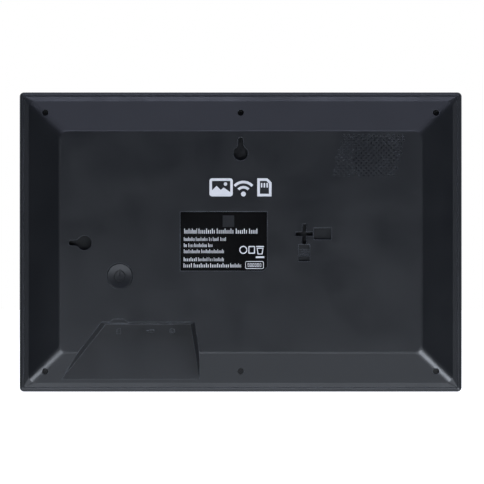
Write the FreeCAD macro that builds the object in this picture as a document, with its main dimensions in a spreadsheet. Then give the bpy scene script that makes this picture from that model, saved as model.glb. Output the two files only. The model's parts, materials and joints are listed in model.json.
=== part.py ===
import FreeCAD, Part
import Sketcher
import math
import os
from FreeCAD import Placement, Rotation, Vector

# A table-top digital photo frame with a 10.1 inch 16:10 touch display.
#
# The row frame: +X to the right of someone who faces the screen, -Y the way the screen faces,
# +Z up. The origin is the middle of the bottom edge, at half the depth.
# Each sub-part is drawn about the centre of the front face: x across, "level" the distance
# behind the front face, z the height above the middle. at_home() then moves it to the row frame.

SIZES = {
    # Whole frame
    "width": 254.0,
    "height": 172.0,
    "depth": 23.0,
    "corner_radius": 2.5,
    "overrun": 0.5,
    # Front bezel
    "rim_level": 10.0,
    "bezel_wall": 2.4,
    "bezel_front_round": 1.2,
    "bezel_back_round": 2.2,
    "inner_radius": 1.0,
    "ledge_level": 1.7,
    "ledge_thick": 2.0,
    "support_thick": 1.5,
    "support_margin": 4.2,
    "boss_radius": 2.3,
    "pilot_radius": 0.9,
    "pilot_skin": 0.6,
    "tip_room": 0.2,
    "cable_notch_tall": 3.0,
    "cable_clear": 1.0,
    # Rear cover
    "parting_gap": 0.12,
    "flange_thick": 2.0,
    "flange_fall": 1.0,
    "rim_width": 5.2,
    "slope_run": 17.1,
    "side_slope_run": 18.0,
    "cover_wall": 2.0,
    "slope_inset": 3.3,
    "foot_radius": 4.0,
    "panel_radius": 5.0,
    "panel_edge_round": 2.5,
    # Housing screws and their wells
    "housing_screw_x": 112.1,
    "housing_screw_z": 74.2,
    "well_radius": 1.85,
    "well_tube_radius": 3.2,
    "well_floor_level": 10.8,
    "boss_top_level": 8.7,
    "screw_head_radius": 1.7,
    "screw_head_thick": 1.2,
    "screw_radius": 0.85,
    "screw_length": 5.2,
    "short_screw": 3.0,
    "screw_hole_radius": 1.1,
    "recess_long": 1.9,
    "recess_wide": 0.45,
    "recess_deep": 0.7,
    # Wall keyholes
    "keyhole_head_radius": 4.25,
    "keyhole_slot_radius": 1.6,
    "keyhole_reach": 7.55,
    "keyhole_neck_half": 2.3,
    "keyhole_pocket_deep": 4.0,
    "keyhole_pocket_half": 5.1,
    "keyhole_wall": 1.4,
    "upper_keyhole_z": 50.8,
    "side_keyhole_x": 89.5,
    "side_keyhole_z": -0.5,
    # Stand socket
    "stand_x": -36.4,
    "stand_z": 4.6,
    "stand_arm": 10.2,
    "stand_drop": 11.6,
    "stand_slot_wide": 2.4,
    "stand_slot_deep": 7.0,
    "side_pocket_x": -46.9,
    "side_pocket_z": 4.7,
    "side_pocket_wide": 10.2,
    "side_pocket_tall": 6.8,
    "low_pocket_z": -6.2,
    "low_pocket_wide": 6.6,
    "low_pocket_tall": 9.8,
    "stand_pocket_deep": 3.0,
    "ridge_pitch": 1.2,
    "ridge_wide": 0.5,
    "ridge_tall": 0.35,
    # Port bay
    "bay_floor_level": 11.6,
    "bay_floor_thick": 1.8,
    "bay_top_z": -47.2,
    "bay_left_x": 28.6,
    "bay_right_x": 77.5,
    "bay_left_lean": 0.16,
    "bay_right_lean": 0.80,
    "bay_reach": 37.0,
    "bay_side_draft": 2.3,
    "bay_top_draft": 1.4,
    "notch_wide": 10.9,
    "notch_flat": 5.6,
    "notch_tall": 2.0,
    "notch_level": 18.1,
    "notch_edge_drop": 0.3,
    "notch_backing_deep": 0.8,
    "notch_backing_tall": 2.4,
    "notch_backing_side": 1.5,
    "card_slit_wide": 12.2,
    "card_slit_thick": 1.7,
    "usb_hole_wide": 8.1,
    "usb_hole_thick": 3.1,
    "plug_clear": 0.15,
    "icon_half": 1.5,
    "icon_drop": 4.0,
    "icon_deep": 0.2,
    # Power button and the push switch under it
    "button_x": 69.2,
    "button_z": -19.6,
    "button_radius": 7.35,
    "button_gap": 0.25,
    "button_dish": 0.9,
    "button_edge_round": 0.35,
    "button_face_level": 22.9,
    "button_back_level": 19.9,
    "button_flange_radius": 8.6,
    "button_flange_thick": 0.8,
    "button_tab_long": 1.6,
    "button_tab_wide": 2.4,
    "button_post_radius": 1.5,
    "rib_gap": 0.3,
    "rib_thick": 1.2,
    "rib_tall": 1.8,
    "symbol_radius": 3.15,
    "symbol_line": 0.55,
    "symbol_deep": 0.5,
    "switch_side": 6.0,
    "switch_thick": 3.5,
    "plunger_radius": 1.75,
    "plunger_rise": 0.8,
    "plunger_depth": 1.2,
    "touch_gap": 0.02,
    # Speaker grille and speaker
    "speaker_x": -75.9,
    "speaker_z": 47.6,
    "speaker_radius": 14.0,
    "speaker_open_radius": 12.9,
    "grille_middle_x": -73.4,
    "grille_top_z": 61.1,
    "grille_pitch_x": 2.86,
    "grille_pitch_z": 1.435,
    "grille_half_wide": 18.4,
    "grille_slant": 0.135,
    "grille_hole_radius": 0.62,
    "grille_dimple_deep": 1.4,
    "gasket_thick": 0.8,
    "speaker_rim_thick": 1.0,
    "basket_deep": 2.6,
    "magnet_radius": 7.5,
    "magnet_thick": 3.0,
    "ear_reach": 17.4,
    "ear_radius": 3.0,
    # Rating label
    "label_x": 9.7,
    "label_z": 0.4,
    "label_wide": 49.4,
    "label_tall": 33.5,
    "label_thick": 0.12,
    "label_recess": 0.15,
    "label_margin": 0.3,
    "label_chamfer": 2.3,
    "label_window": 6.6,
    "label_window_x": 7.0,
    "label_window_z": 11.9,
    # Touch glass and display
    "glass_level": 0.4,
    "glass_thick": 1.1,
    "glass_margin": 4.2,
    "glass_radius": 3.0,
    "glass_gap": 0.3,
    "tape_inset": 1.0,
    "tape_reach": 1.5,
    "tape_radius": 1.5,
    "gasket_margin": 0.5,
    "gasket_side": 2.5,
    "gasket_end": 1.0,
    "gasket_radius": 0.3,
    "display_width": 228.0,
    "display_height": 143.2,
    "display_level": 2.1,
    "display_thick": 3.0,
    "display_gap": 0.4,
    "active_width": 216.96,
    "active_height": 135.6,
    "active_rise": 1.4,
    "polarizer_thick": 0.2,
    "polarizer_side": 2.0,
    "polarizer_end": 0.8,
    "cell_thick": 0.5,
    "cell_side": 3.5,
    "filter_end": 1.4,
    "cell_end_room": 1.0,
    "driver_long": 22.0,
    "driver_thick": 0.3,
    "driver_tall": 1.0,
    "sheet_thick": 0.15,
    "sheet_side": 2.5,
    "sheet_end": 1.5,
    "sheet_drop": 0.5,
    "sheet_gap": 0.3,
    "guide_thick": 0.6,
    "module_gap": 0.1,
    "rail_rise": 0.8,
    "rail_gap": 0.2,
    "pan_thick": 0.3,
    "pan_radius": 0.8,
    "pan_lip": 0.8,
    "led_long": 3.8,
    "led_tall": 1.0,
    "led_inset": 2.5,
    "led_pitch": 9.0,
    "strip_tall": 4.0,
    "strip_rise": 1.0,
    "strip_gap": 0.4,
    "strip_inset": 4.0,
    "bracket_inset": 9.0,
    "bracket_z": 44.0,
    "bracket_thick": 0.8,
    "bracket_wide": 10.4,
    "bracket_tall": 11.0,
    "bracket_shift": 3.0,
    "flex_thick": 0.15,
    "display_flex_x": 44.0,
    "display_flex_wide": 26.0,
    "touch_flex_x": 74.0,
    "touch_flex_wide": 7.0,
    # Film aerial
    "aerial_x": 38.0,
    "aerial_z": 52.0,
    "aerial_wide": 36.0,
    "aerial_tall": 8.0,
    "aerial_thick": 0.2,
    # Main board
    "board_x": 56.0,
    "board_z": -18.5,
    "board_wide": 56.0,
    "board_tall": 50.0,
    "board_level": 13.4,
    "board_thick": 1.6,
    "board_hole_x": 25.0,
    "board_hole_z": 21.6,
    # Sockets
    "card_x": 70.0,
    "cage_wide": 13.6,
    "cage_thick": 1.9,
    "cage_long": 14.0,
    "cage_rise": 1.75,
    "cage_room_wide": 11.4,
    "cage_room_thick": 1.2,
    "cage_sheet": 0.4,
    "usb_x": 52.0,
    "usb_wide": 7.6,
    "usb_thick": 2.7,
    "usb_deep": 5.6,
    "usb_sheet": 0.25,
    "usb_radius": 1.0,
    "usb_lift": 0.05,
    "usb_back": 0.6,
    "usb_tongue_wide": 5.2,
    "usb_tongue_thick": 0.6,
    "inlet_x": 39.3,
    "inlet_level": 17.5,
    "inlet_wide": 6.4,
    "inlet_thick": 5.0,
    "inlet_long": 10.3,
    "inlet_nose_long": 2.5,
    "inlet_nose_overlap": 0.1,
    "inlet_bore_long": 9.0,
    "inlet_pin_radius": 0.65,
    "inlet_bore_radius": 1.8,
    "inlet_nose_radius": 3.0,
    "socket_mouth_z": -46.1,
    "lead_radius": 0.5,
}


class Size:
    """A length that knows both its value and the sheet expression that it comes from."""

    def __init__(self, value, text):
        self.value = value
        self.text = text

    def __add__(self, other):
        other = as_size(other)
        return Size(self.value + other.value, f"({self.text} + {other.text})")

    def __sub__(self, other):
        other = as_size(other)
        return Size(self.value - other.value, f"({self.text} - {other.text})")

    def __mul__(self, other):
        other = as_size(other)
        return Size(self.value * other.value, f"({self.text} * {other.text})")

    def __truediv__(self, other):
        other = as_size(other)
        return Size(self.value / other.value, f"({self.text} / {other.text})")

    def __radd__(self, other):
        return as_size(other) + self

    def __rsub__(self, other):
        return as_size(other) - self

    def __rmul__(self, other):
        return as_size(other) * self

    def __neg__(self):
        return as_size(0) - self


def as_size(number):
    """A Size from a plain number, or the Size itself."""
    return number if isinstance(number, Size) else Size(number, f"({number})")


class Sheet:
    """The spreadsheet of driving dimensions; s.width is the Size of the cell named width."""

    def __init__(self, document, sizes):
        self.cells = document.addObject("Spreadsheet::Sheet", "Sizes")
        for row, (name, value) in enumerate(sizes.items(), start=1):
            self.cells.set(f"A{row}", name)
            self.cells.set(f"B{row}", str(value))
            self.cells.setAlias(f"B{row}", name)
        document.recompute()

    def __getattr__(self, name):
        return Size(float(self.cells.get(name)), f"Sizes.{name}")


GRILLE_ROWS = 17
GRILLE_COLUMNS = range(-9, 10)
BACKLIGHT_LAMPS = range(-11, 12)
DRIVER_PLACES = (-52.0, 6.0)
# Board components: width, height and thickness
COMPONENTS = {
    "processor": (14.0, 14.0, 1.2),
    "memory_chip": (9.0, 13.0, 1.0),
    "storage_chip": (11.5, 13.0, 1.0),
    "can_outside": (44.0, 19.0, 2.4),
    "can_inside": (43.4, 18.4, 2.1),
    "wireless_module": (13.0, 12.0, 2.0),
    "power_coil": (5.0, 5.0, 2.8),
    "capacitor": (1.6, 2.6, 1.4),
    "speaker_connector": (5.0, 4.6, 2.6),
}
KEYHOLE_SHOULDER = 0.84     # where a keyhole's taper leaves the head, in head radii
KEYHOLE_THROAT = 1.12       # and where it meets the slot

doc = FreeCAD.newDocument("photo_frame")
s = Sheet(doc, SIZES)
subparts = []

ALONG_Y = Rotation(Vector(1, 0, 0), -90)
ALONG_X = Rotation(Vector(0, 1, 0), 90)
UP = Rotation()

half_width = s.width / 2
half_height = s.height / 2
panel_level = s.depth
panel_inner = s.depth - s.cover_wall
board_back = s.board_level + s.board_thick


# ---------------------------------------------------------------- general helpers


def bind(item, **links):
    """Bind properties of an object to sheet expressions."""
    for path, size in links.items():
        item.setExpression(path.replace("__", "."), as_size(size).text)


def place(item, x, level, z, rotation=UP):
    """Put an object at a bound position, turned as given."""
    item.Placement = Placement(Vector(), rotation)
    bind(item, Placement__Base__x=x, Placement__Base__y=level, Placement__Base__z=z)
    return item


def block(name, x, level, z, wide, thick, tall):
    """A box centred on x and z that starts at a level and runs back by its thickness."""
    item = doc.addObject("Part::Box", name)
    bind(item, Length=wide, Width=thick, Height=tall)
    return place(item, x - as_size(wide) / 2, level, z - as_size(tall) / 2)


def rod(name, x, level, z, radius, length, rotation=ALONG_Y):
    """A cylinder that starts at a point and runs back, or along another axis."""
    item = doc.addObject("Part::Cylinder", name)
    bind(item, Radius=radius, Height=length)
    return place(item, x, level, z, rotation)


def joined(name, items):
    """One solid fused from several, or the only one there is."""
    if len(items) == 1:
        return items[0]
    item = doc.addObject("Part::MultiFuse", name)
    item.Shapes = items
    return item


def cut(name, base, *tools):
    """The base with every tool taken away."""
    item = doc.addObject("Part::Cut", name)
    item.Base = base
    item.Tool = joined(name + "_tools", list(tools))
    return item


def common(name, first, second):
    """What two solids share."""
    item = doc.addObject("Part::MultiCommon", name)
    item.Shapes = [first, second]
    return item


def together(name, items):
    """Several separate solids held as one object."""
    item = doc.addObject("Part::Compound", name)
    item.Links = items
    return item


def at_home(item, label):
    """Move a finished sub-part from the front face's centre to the row frame and record it."""
    links = {path.lstrip("."): text for path, text in item.ExpressionEngine}
    for axis, home in (("y", -s.depth / 2), ("z", half_height)):
        path = "Placement.Base." + axis
        own = links.get(path, "0")
        item.setExpression(path, f"{own} + {home.text}")
    item.Label = label
    subparts.append(item)
    return item


def solid_part(label, shape):
    """A sub-part whose shape is worked out in code from the sheet's sizes."""
    item = doc.addObject("Part::Feature", label)
    item.Shape = shape
    item.Placement = Placement()
    return at_home(item, label)


# ---------------------------------------------------------------- sketches and bodies


def new_body(name):
    """An empty PartDesign body."""
    return doc.addObject("PartDesign::Body", name)


def sketch_at(body, level):
    """A sketch that faces the back, at a bound level behind the front face."""
    sketch = body.newObject("Sketcher::SketchObject", body.Name + "_sketch")
    plane = next(f for f in body.Origin.OriginFeatures if f.Role == "XZ_Plane")
    sketch.AttachmentSupport = [(plane, "")]
    sketch.MapMode = "FlatFace"
    bind(sketch, AttachmentOffset__Base__z=-as_size(level))
    return sketch


def hold(sketch, kind, *terms):
    """Add a dimension whose last term is a Size, and bind it."""
    size = as_size(terms[-1])
    index = sketch.addConstraint(Sketcher.Constraint(kind, *terms[:-1], size.value))
    sketch.setExpression(f"Constraints[{index}]", size.text)


def draw_circle(sketch, x, z, radius):
    """A circle held by its centre and radius."""
    x, z, radius = as_size(x), as_size(z), as_size(radius)
    centre = Vector(x.value, z.value, 0)
    index = sketch.addGeometry(Part.Circle(centre, Vector(0, 0, 1), radius.value))
    hold(sketch, "DistanceX", index, 3, x)
    hold(sketch, "DistanceY", index, 3, z)
    hold(sketch, "Radius", index, radius)


def draw_polygon(sketch, corners):
    """A closed outline of straight sides with every corner held."""
    points = [(as_size(x), as_size(z)) for x, z in corners]
    first = sketch.GeometryCount
    for here, there in zip(points, points[1:] + points[:1]):
        start = Vector(here[0].value, here[1].value, 0)
        end = Vector(there[0].value, there[1].value, 0)
        sketch.addGeometry(Part.LineSegment(start, end))
    for step, (x, z) in enumerate(points):
        following = first + (step + 1) % len(points)
        sketch.addConstraint(Sketcher.Constraint("Coincident", first + step, 2, following, 1))
        hold(sketch, "DistanceX", first + step, 1, x)
        hold(sketch, "DistanceY", first + step, 1, z)


def draw_rectangle(sketch, x, z, wide, tall):
    """A sharp-cornered rectangle centred on a point."""
    x, z, wide, tall = as_size(x), as_size(z), as_size(wide), as_size(tall)
    left, right = x - wide / 2, x + wide / 2
    low, high = z - tall / 2, z + tall / 2
    draw_polygon(sketch, [(left, low), (right, low), (right, high), (left, high)])


def draw_rounded(sketch, x, z, wide, tall, radius):
    """A rectangle with rounded corners, centred on a point."""
    x, z, wide, tall, radius = (as_size(size) for size in (x, z, wide, tall, radius))
    left, right = (x - wide / 2).value, (x + wide / 2).value
    low, high = (z - tall / 2).value, (z + tall / 2).value
    bend = radius.value
    first = sketch.GeometryCount
    sides = [
        ((left + bend, low), (right - bend, low)),
        ((right, low + bend), (right, high - bend)),
        ((right - bend, high), (left + bend, high)),
        ((left, high - bend), (left, low + bend)),
    ]
    for start, end in sides:
        sketch.addGeometry(Part.LineSegment(Vector(*start, 0), Vector(*end, 0)))
    turns = [
        (right - bend, low + bend, -90),
        (right - bend, high - bend, 0),
        (left + bend, high - bend, 90),
        (left + bend, low + bend, 180),
    ]
    for centre_x, centre_z, start_angle in turns:
        circle = Part.Circle(Vector(centre_x, centre_z, 0), Vector(0, 0, 1), bend)
        begin = math.radians(start_angle)
        sketch.addGeometry(Part.ArcOfCircle(circle, begin, begin + math.pi / 2))
    for corner in range(4):
        side, arc, following = first + corner, first + 4 + corner, first + (corner + 1) % 4
        sketch.addConstraint(Sketcher.Constraint("Tangent", side, 2, arc, 1))
        sketch.addConstraint(Sketcher.Constraint("Tangent", arc, 2, following, 1))
        sketch.addConstraint(Sketcher.Constraint(("Horizontal", "Vertical")[corner % 2], side))
    for corner in range(1, 4):
        sketch.addConstraint(Sketcher.Constraint("Equal", first + 4, first + 4 + corner))
    hold(sketch, "Radius", first + 4, radius)
    hold(sketch, "DistanceX", first + 3, 1, x - wide / 2)
    hold(sketch, "DistanceX", first + 1, 1, x + wide / 2)
    hold(sketch, "DistanceY", first, 1, z - tall / 2)
    hold(sketch, "DistanceY", first + 2, 1, z + tall / 2)


def pad(body, sketch, thick):
    """Raise a sketch towards the back."""
    feature = body.newObject("PartDesign::Pad", body.Name + "_pad")
    feature.Profile = sketch
    feature.Reversed = True
    bind(feature, Length=thick)
    body.Tip = feature
    return feature


def pocket(body, sketch, deep):
    """Cut a sketch towards the back."""
    feature = body.newObject("PartDesign::Pocket", body.Name + "_pocket")
    feature.Profile = sketch
    bind(feature, Length=deep)
    body.Tip = feature
    return feature


def loft(body, kind, first, second):
    """A straight-sided loft between two sketches."""
    feature = body.newObject("PartDesign::" + kind, body.Name + "_loft")
    feature.Profile = first
    feature.Sections = [second]
    feature.Ruled = True
    body.Tip = feature
    return feature


def upward_sketch(body, name):
    """A sketch on the body's own level plane, whose normal points up."""
    sketch = body.newObject("Sketcher::SketchObject", name)
    plane = next(f for f in body.Origin.OriginFeatures if f.Role == "XY_Plane")
    sketch.AttachmentSupport = [(plane, "")]
    sketch.MapMode = "FlatFace"
    return sketch


def turn(body, section):
    """Turn a section about the body's front-to-back axis."""
    feature = body.newObject("PartDesign::Revolution", body.Name + "_turned")
    feature.Profile = section
    feature.ReferenceAxis = (section, ["V_Axis"])
    feature.Angle = 360
    body.Tip = feature
    return feature


def round_edges(body, radius, chosen):
    """Fillet the edges of the body's tip whose middle and length pass a test."""
    doc.recompute()
    tip = body.Tip
    names = [f"Edge{n}" for n, edge in enumerate(tip.Shape.Edges, start=1) if chosen(edge)]
    feature = body.newObject("PartDesign::Fillet", body.Name + "_fillet")
    feature.Base = (tip, names)
    bind(feature, Radius=radius)
    body.Tip = feature
    return feature


def lies_at(edge, level):
    """True if all of an edge is at one level."""
    box = edge.BoundBox
    return abs(box.YMin - level.value) < 1e-6 and abs(box.YMax - level.value) < 1e-6


def plate(name, level, thick, x, z, wide, tall, radius=None):
    """A flat sheet as a body: one rectangle, sharp or rounded, padded."""
    body = new_body(name)
    sketch = sketch_at(body, level)
    if radius is None:
        draw_rectangle(sketch, x, z, wide, tall)
    else:
        draw_rounded(sketch, x, z, wide, tall, radius)
    pad(body, sketch, thick)
    return body


def frame_ring(name, level, thick, outer, inner, radius):
    """A flat rectangular ring: outer and inner are (x, z, wide, tall)."""
    body = new_body(name)
    sketch = sketch_at(body, level)
    draw_rounded(sketch, *outer, radius)
    draw_rounded(sketch, *inner, radius)
    pad(body, sketch, thick)
    return body


# ---------------------------------------------------------------- screws


def cross_screw(name, x, seat_level, z, length, points_forward=True):
    """A small pan-head screw with a cross recess, whose head bears on seat_level."""
    if points_forward:
        head_level = seat_level
        recess_level = seat_level + s.screw_head_thick - s.recess_deep
        shank_level = seat_level - length
    else:
        head_level = seat_level - s.screw_head_thick
        recess_level = head_level
        shank_level = seat_level
    head = rod(name + "_head", x, head_level, z, s.screw_head_radius, s.screw_head_thick)
    shank = rod(name + "_shank", x, shank_level, z, s.screw_radius, length)
    across = block(name + "_across", x, recess_level, z, s.recess_long, s.recess_deep, s.recess_wide)
    upright = block(name + "_upright", x, recess_level, z, s.recess_wide, s.recess_deep, s.recess_long)
    return cut(name, joined(name + "_blank", [head, shank]), across, upright)


def housing_screw_places():
    """The six wells: the four corners and the middle of the top and bottom."""
    places = []
    for side in (-1, 0, 1):
        for end in (-1, 1):
            places.append((side * s.housing_screw_x, end * s.housing_screw_z))
    return places


def make_housing_screws():
    screws = []
    for number, (x, z) in enumerate(housing_screw_places()):
        screws.append(cross_screw(f"housing_screw_{number}", x, s.well_floor_level, z, s.screw_length))
    at_home(together("housing_screws", screws), "housing_screws")


# ---------------------------------------------------------------- front bezel

bracket_screw_x = half_width - s.bracket_inset
ledge_back = s.ledge_level + s.ledge_thick
flange_level = s.rim_level - s.flange_thick
parting_level = s.rim_level - s.flange_fall


def bracket_places():
    """The four display brackets, near the corners of the left and right sides."""
    return [(side * bracket_screw_x, end * s.bracket_z) for side in (-1, 1) for end in (-1, 1)]


def make_front_bezel():
    body = new_body("front_bezel")
    outside = sketch_at(body, 0)
    draw_rounded(outside, 0, 0, s.width, s.height, s.corner_radius)
    pad(body, outside, parting_level)
    round_edges(body, s.bezel_front_round, lambda edge: lies_at(edge, as_size(0)))
    round_edges(body, s.bezel_back_round, lambda edge: lies_at(edge, parting_level))

    inside = sketch_at(body, ledge_back)
    inner_wide = s.width - 2 * s.bezel_wall
    inner_tall = s.height - 2 * s.bezel_wall
    draw_rounded(inside, 0, 0, inner_wide, inner_tall, s.inner_radius)
    pocket(body, inside, parting_level - ledge_back)

    glass_seat = sketch_at(body, 0)
    seat_margin = s.glass_margin - s.glass_gap
    seat_wide = s.width - 2 * seat_margin
    seat_tall = s.height - 2 * seat_margin
    draw_rounded(glass_seat, 0, 0, seat_wide, seat_tall, s.glass_radius)
    pocket(body, glass_seat, s.ledge_level)

    window = sketch_at(body, 0)
    window_wide = s.display_width + 2 * s.display_gap
    window_tall = s.display_height + s.display_gap
    draw_rectangle(window, 0, 0, window_wide, window_tall)
    pocket(body, window, s.rim_level)

    support = sketch_at(body, ledge_back)
    support_wide = s.width - 2 * s.support_margin
    support_tall = s.height - 2 * s.support_margin
    draw_rounded(support, 0, 0, support_wide, support_tall, s.glass_radius)
    inset = 2 * s.support_thick
    draw_rounded(support, 0, 0, support_wide - inset, support_tall - inset, s.support_thick)
    pad(body, support, flange_level - ledge_back)

    housing_bosses = sketch_at(body, ledge_back)
    for x, z in housing_screw_places():
        draw_circle(housing_bosses, x, z, s.boss_radius)
    pad(body, housing_bosses, s.boss_top_level - ledge_back)

    bracket_bosses = sketch_at(body, ledge_back)
    for x, z in bracket_places():
        draw_circle(bracket_bosses, x, z, s.boss_radius)
    pad(body, bracket_bosses, display_back - ledge_back)

    pilots = sketch_at(body, s.ledge_level + s.pilot_skin)
    for x, z in housing_screw_places() + bracket_places():
        draw_circle(pilots, x, z, s.pilot_radius)
    pocket(body, pilots, s.rim_level)

    cable_notch = sketch_at(body, s.ledge_level)
    notch_z = s.overrun - window_tall / 2 - s.cable_notch_tall / 2
    for x, wide in ((s.display_flex_x, s.display_flex_wide), (s.touch_flex_x, s.touch_flex_wide)):
        draw_rectangle(cable_notch, x, notch_z, wide + 2 * s.cable_clear, s.cable_notch_tall)
    pocket(body, cable_notch, s.ledge_thick)
    at_home(body, "front_bezel")


# ---------------------------------------------------------------- rear cover

cover_half_wide = half_width - s.bezel_wall - s.parting_gap
cover_half_tall = half_height - s.bezel_wall - s.parting_gap
foot_half_wide = half_width - s.rim_width
foot_half_tall = half_height - s.rim_width
panel_half_wide = foot_half_wide - s.side_slope_run
panel_half_tall = foot_half_tall - s.slope_run


def inside_half(panel_half, run, level):
    """Half the width or height of the hollow at a level, inside sides that slope out by run."""
    return panel_half + (s.depth - level) * run / (s.depth - s.rim_level) - s.slope_inset


def make_hull():
    """The rear cover's outside: a sloped flange, four steeper sides and the raised flat panel."""
    body = new_body("cover_hull")
    flange = sketch_at(body, flange_level)
    draw_rounded(flange, 0, 0, 2 * cover_half_wide, 2 * cover_half_tall, s.inner_radius)
    pad(body, flange, parting_level - flange_level)
    shoulder = sketch_at(body, parting_level)
    draw_rounded(shoulder, 0, 0, 2 * cover_half_wide, 2 * cover_half_tall, s.inner_radius)
    foot = sketch_at(body, s.rim_level)
    draw_rounded(foot, 0, 0, 2 * foot_half_wide, 2 * foot_half_tall, s.foot_radius)
    loft(body, "AdditiveLoft", shoulder, foot)
    base = sketch_at(body, s.rim_level)
    draw_rounded(base, 0, 0, 2 * foot_half_wide, 2 * foot_half_tall, s.foot_radius)
    panel = sketch_at(body, panel_level)
    draw_rounded(panel, 0, 0, 2 * panel_half_wide, 2 * panel_half_tall, s.panel_radius)
    loft(body, "AdditiveLoft", base, panel)
    round_edges(body, s.panel_edge_round, lambda edge: lies_at(edge, panel_level))
    return body


def make_cavity():
    """The hollow inside the rear cover, open towards the display."""
    body = new_body("cover_cavity")
    outlines = []
    for level in (flange_level - s.overrun, panel_inner):
        outline = sketch_at(body, level)
        half_wide = inside_half(panel_half_wide, s.side_slope_run, level)
        half_tall = inside_half(panel_half_tall, s.slope_run, level)
        draw_rounded(outline, 0, 0, 2 * half_wide, 2 * half_tall, s.corner_radius)
        outlines.append(outline)
    loft(body, "AdditiveLoft", *outlines)
    return body


def bay_outline(sketch, spread, rise, reach):
    """The port bay's outline: a level top and two leaning sides that run out below."""
    top_z = s.bay_top_z + rise
    low_z = s.bay_top_z - reach
    left_top = s.bay_left_x - spread
    right_top = s.bay_right_x + spread
    left_low = s.bay_left_x - spread - s.bay_left_lean * reach
    right_low = s.bay_right_x + spread + s.bay_right_lean * reach
    draw_polygon(sketch, [(left_low, low_z), (right_low, low_z), (right_top, top_z), (left_top, top_z)])


def make_bay(name, grown, floor_level):
    """The port bay's hollow, or with grown walls the block that surrounds it."""
    body = new_body(name)
    floor = sketch_at(body, floor_level)
    bay_outline(floor, as_size(grown), as_size(grown), s.bay_reach)
    mouth = sketch_at(body, panel_level + s.overrun)
    bay_outline(mouth, s.bay_side_draft + grown, s.bay_top_draft + grown, s.bay_reach)
    loft(body, "AdditiveLoft", floor, mouth)
    return body


def inner_block(name, x, z, wide, tall, front_level):
    """A moulded block that stands on the inside of the panel."""
    return block(name, x, front_level, z, wide, panel_level - front_level - s.overrun, tall)


def keyhole(name, x, z, along_x):
    """A wall keyhole: round head hole, tapered neck and slot, with a wider pocket behind it."""
    body = new_body(name)
    reach, neck, slot = s.keyhole_reach, s.keyhole_neck_half, s.keyhole_slot_radius

    def at(along, across):
        return (x + along, z + across) if along_x else (x + across, z + along)

    front = panel_inner - s.overrun
    deep = s.cover_wall + 2 * s.overrun
    head = sketch_at(body, front)
    draw_circle(head, *at(as_size(0), as_size(0)), s.keyhole_head_radius)
    pad(body, head, deep)
    taper = sketch_at(body, front)
    shoulder = s.keyhole_head_radius * KEYHOLE_SHOULDER
    throat = s.keyhole_head_radius * KEYHOLE_THROAT
    draw_polygon(taper, [at(shoulder, -neck), at(throat, -slot), at(throat, slot), at(shoulder, neck),
                         at(as_size(0), neck), at(as_size(0), -neck)])
    pad(body, taper, deep)
    run = sketch_at(body, front)
    draw_polygon(run, [at(as_size(0), -slot), at(reach, -slot), at(reach, slot), at(as_size(0), slot)])
    pad(body, run, deep)
    end = sketch_at(body, front)
    draw_circle(end, *at(reach, as_size(0)), slot)
    pad(body, end, deep)
    return body


def keyhole_pocket(name, x, z, along_x, grown, extra_deep):
    """The room behind a keyhole for the wall screw's head, or with a wall the block around it."""
    long_side = s.keyhole_reach + 2 * s.keyhole_pocket_half + 2 * grown
    short_side = 2 * s.keyhole_pocket_half + 2 * grown
    middle = s.keyhole_reach / 2
    front = panel_inner - s.keyhole_pocket_deep - extra_deep
    thick = panel_inner - front
    if along_x:
        return block(name, x + middle, front, z, long_side, thick, short_side)
    return block(name, x, front, z + middle, short_side, thick, long_side)


notch_edge_z = s.bay_top_z + s.bay_top_draft - s.notch_edge_drop
notch_top_z = notch_edge_z + s.notch_tall

KEYHOLES = (
    ("upper_keyhole", as_size(0), s.upper_keyhole_z, False),
    ("side_keyhole", s.side_keyhole_x, s.side_keyhole_z, True),
)


def stand_socket_blocks():
    """Moulded blocks inside the panel around the stand socket's slot and its two pockets."""
    around = 2 * s.keyhole_wall
    slot_front = panel_level - s.stand_slot_deep - s.keyhole_wall
    pocket_front = panel_level - s.stand_pocket_deep - s.keyhole_wall
    return [
        inner_block("stand_slot_block", s.stand_x, s.stand_z, s.stand_arm + around,
                    s.stand_drop + around, slot_front),
        inner_block("side_pocket_block", s.side_pocket_x, s.side_pocket_z,
                    s.side_pocket_wide + around, s.side_pocket_tall + around, pocket_front),
        inner_block("low_pocket_block", s.stand_x, s.low_pocket_z,
                    s.low_pocket_wide + around, s.low_pocket_tall + around, pocket_front),
    ]


def stand_socket_hollows():
    """The cross slot that takes the stand's tongue, and the two pockets for its foot."""
    slot_front = panel_level - s.stand_slot_deep
    pocket_front = panel_level - s.stand_pocket_deep
    deep = s.stand_slot_deep + s.overrun
    pocket_deep = s.stand_pocket_deep + s.overrun
    return [
        block("stand_slot_across", s.stand_x, slot_front, s.stand_z,
              s.stand_arm, deep, s.stand_slot_wide),
        block("stand_slot_upright", s.stand_x, slot_front, s.stand_z,
              s.stand_slot_wide, deep, s.stand_drop),
        block("side_pocket_room", s.side_pocket_x, pocket_front, s.side_pocket_z,
              s.side_pocket_wide, pocket_deep, s.side_pocket_tall),
        block("low_pocket_room", s.stand_x, pocket_front, s.low_pocket_z,
              s.low_pocket_wide, pocket_deep, s.low_pocket_tall),
    ]


def stand_socket_ridges():
    """Fine grip ridges on the floor of the lower pocket."""
    ridges = []
    foot = panel_level - s.stand_pocket_deep - s.overrun
    for step in (-1.5, -0.5, 0.5, 1.5):
        ridges.append(block("grip_ridge", s.stand_x, foot, s.low_pocket_z + step * s.ridge_pitch,
                            s.low_pocket_wide - s.ridge_pitch, s.ridge_tall + s.overrun, s.ridge_wide))
    return ridges


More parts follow.
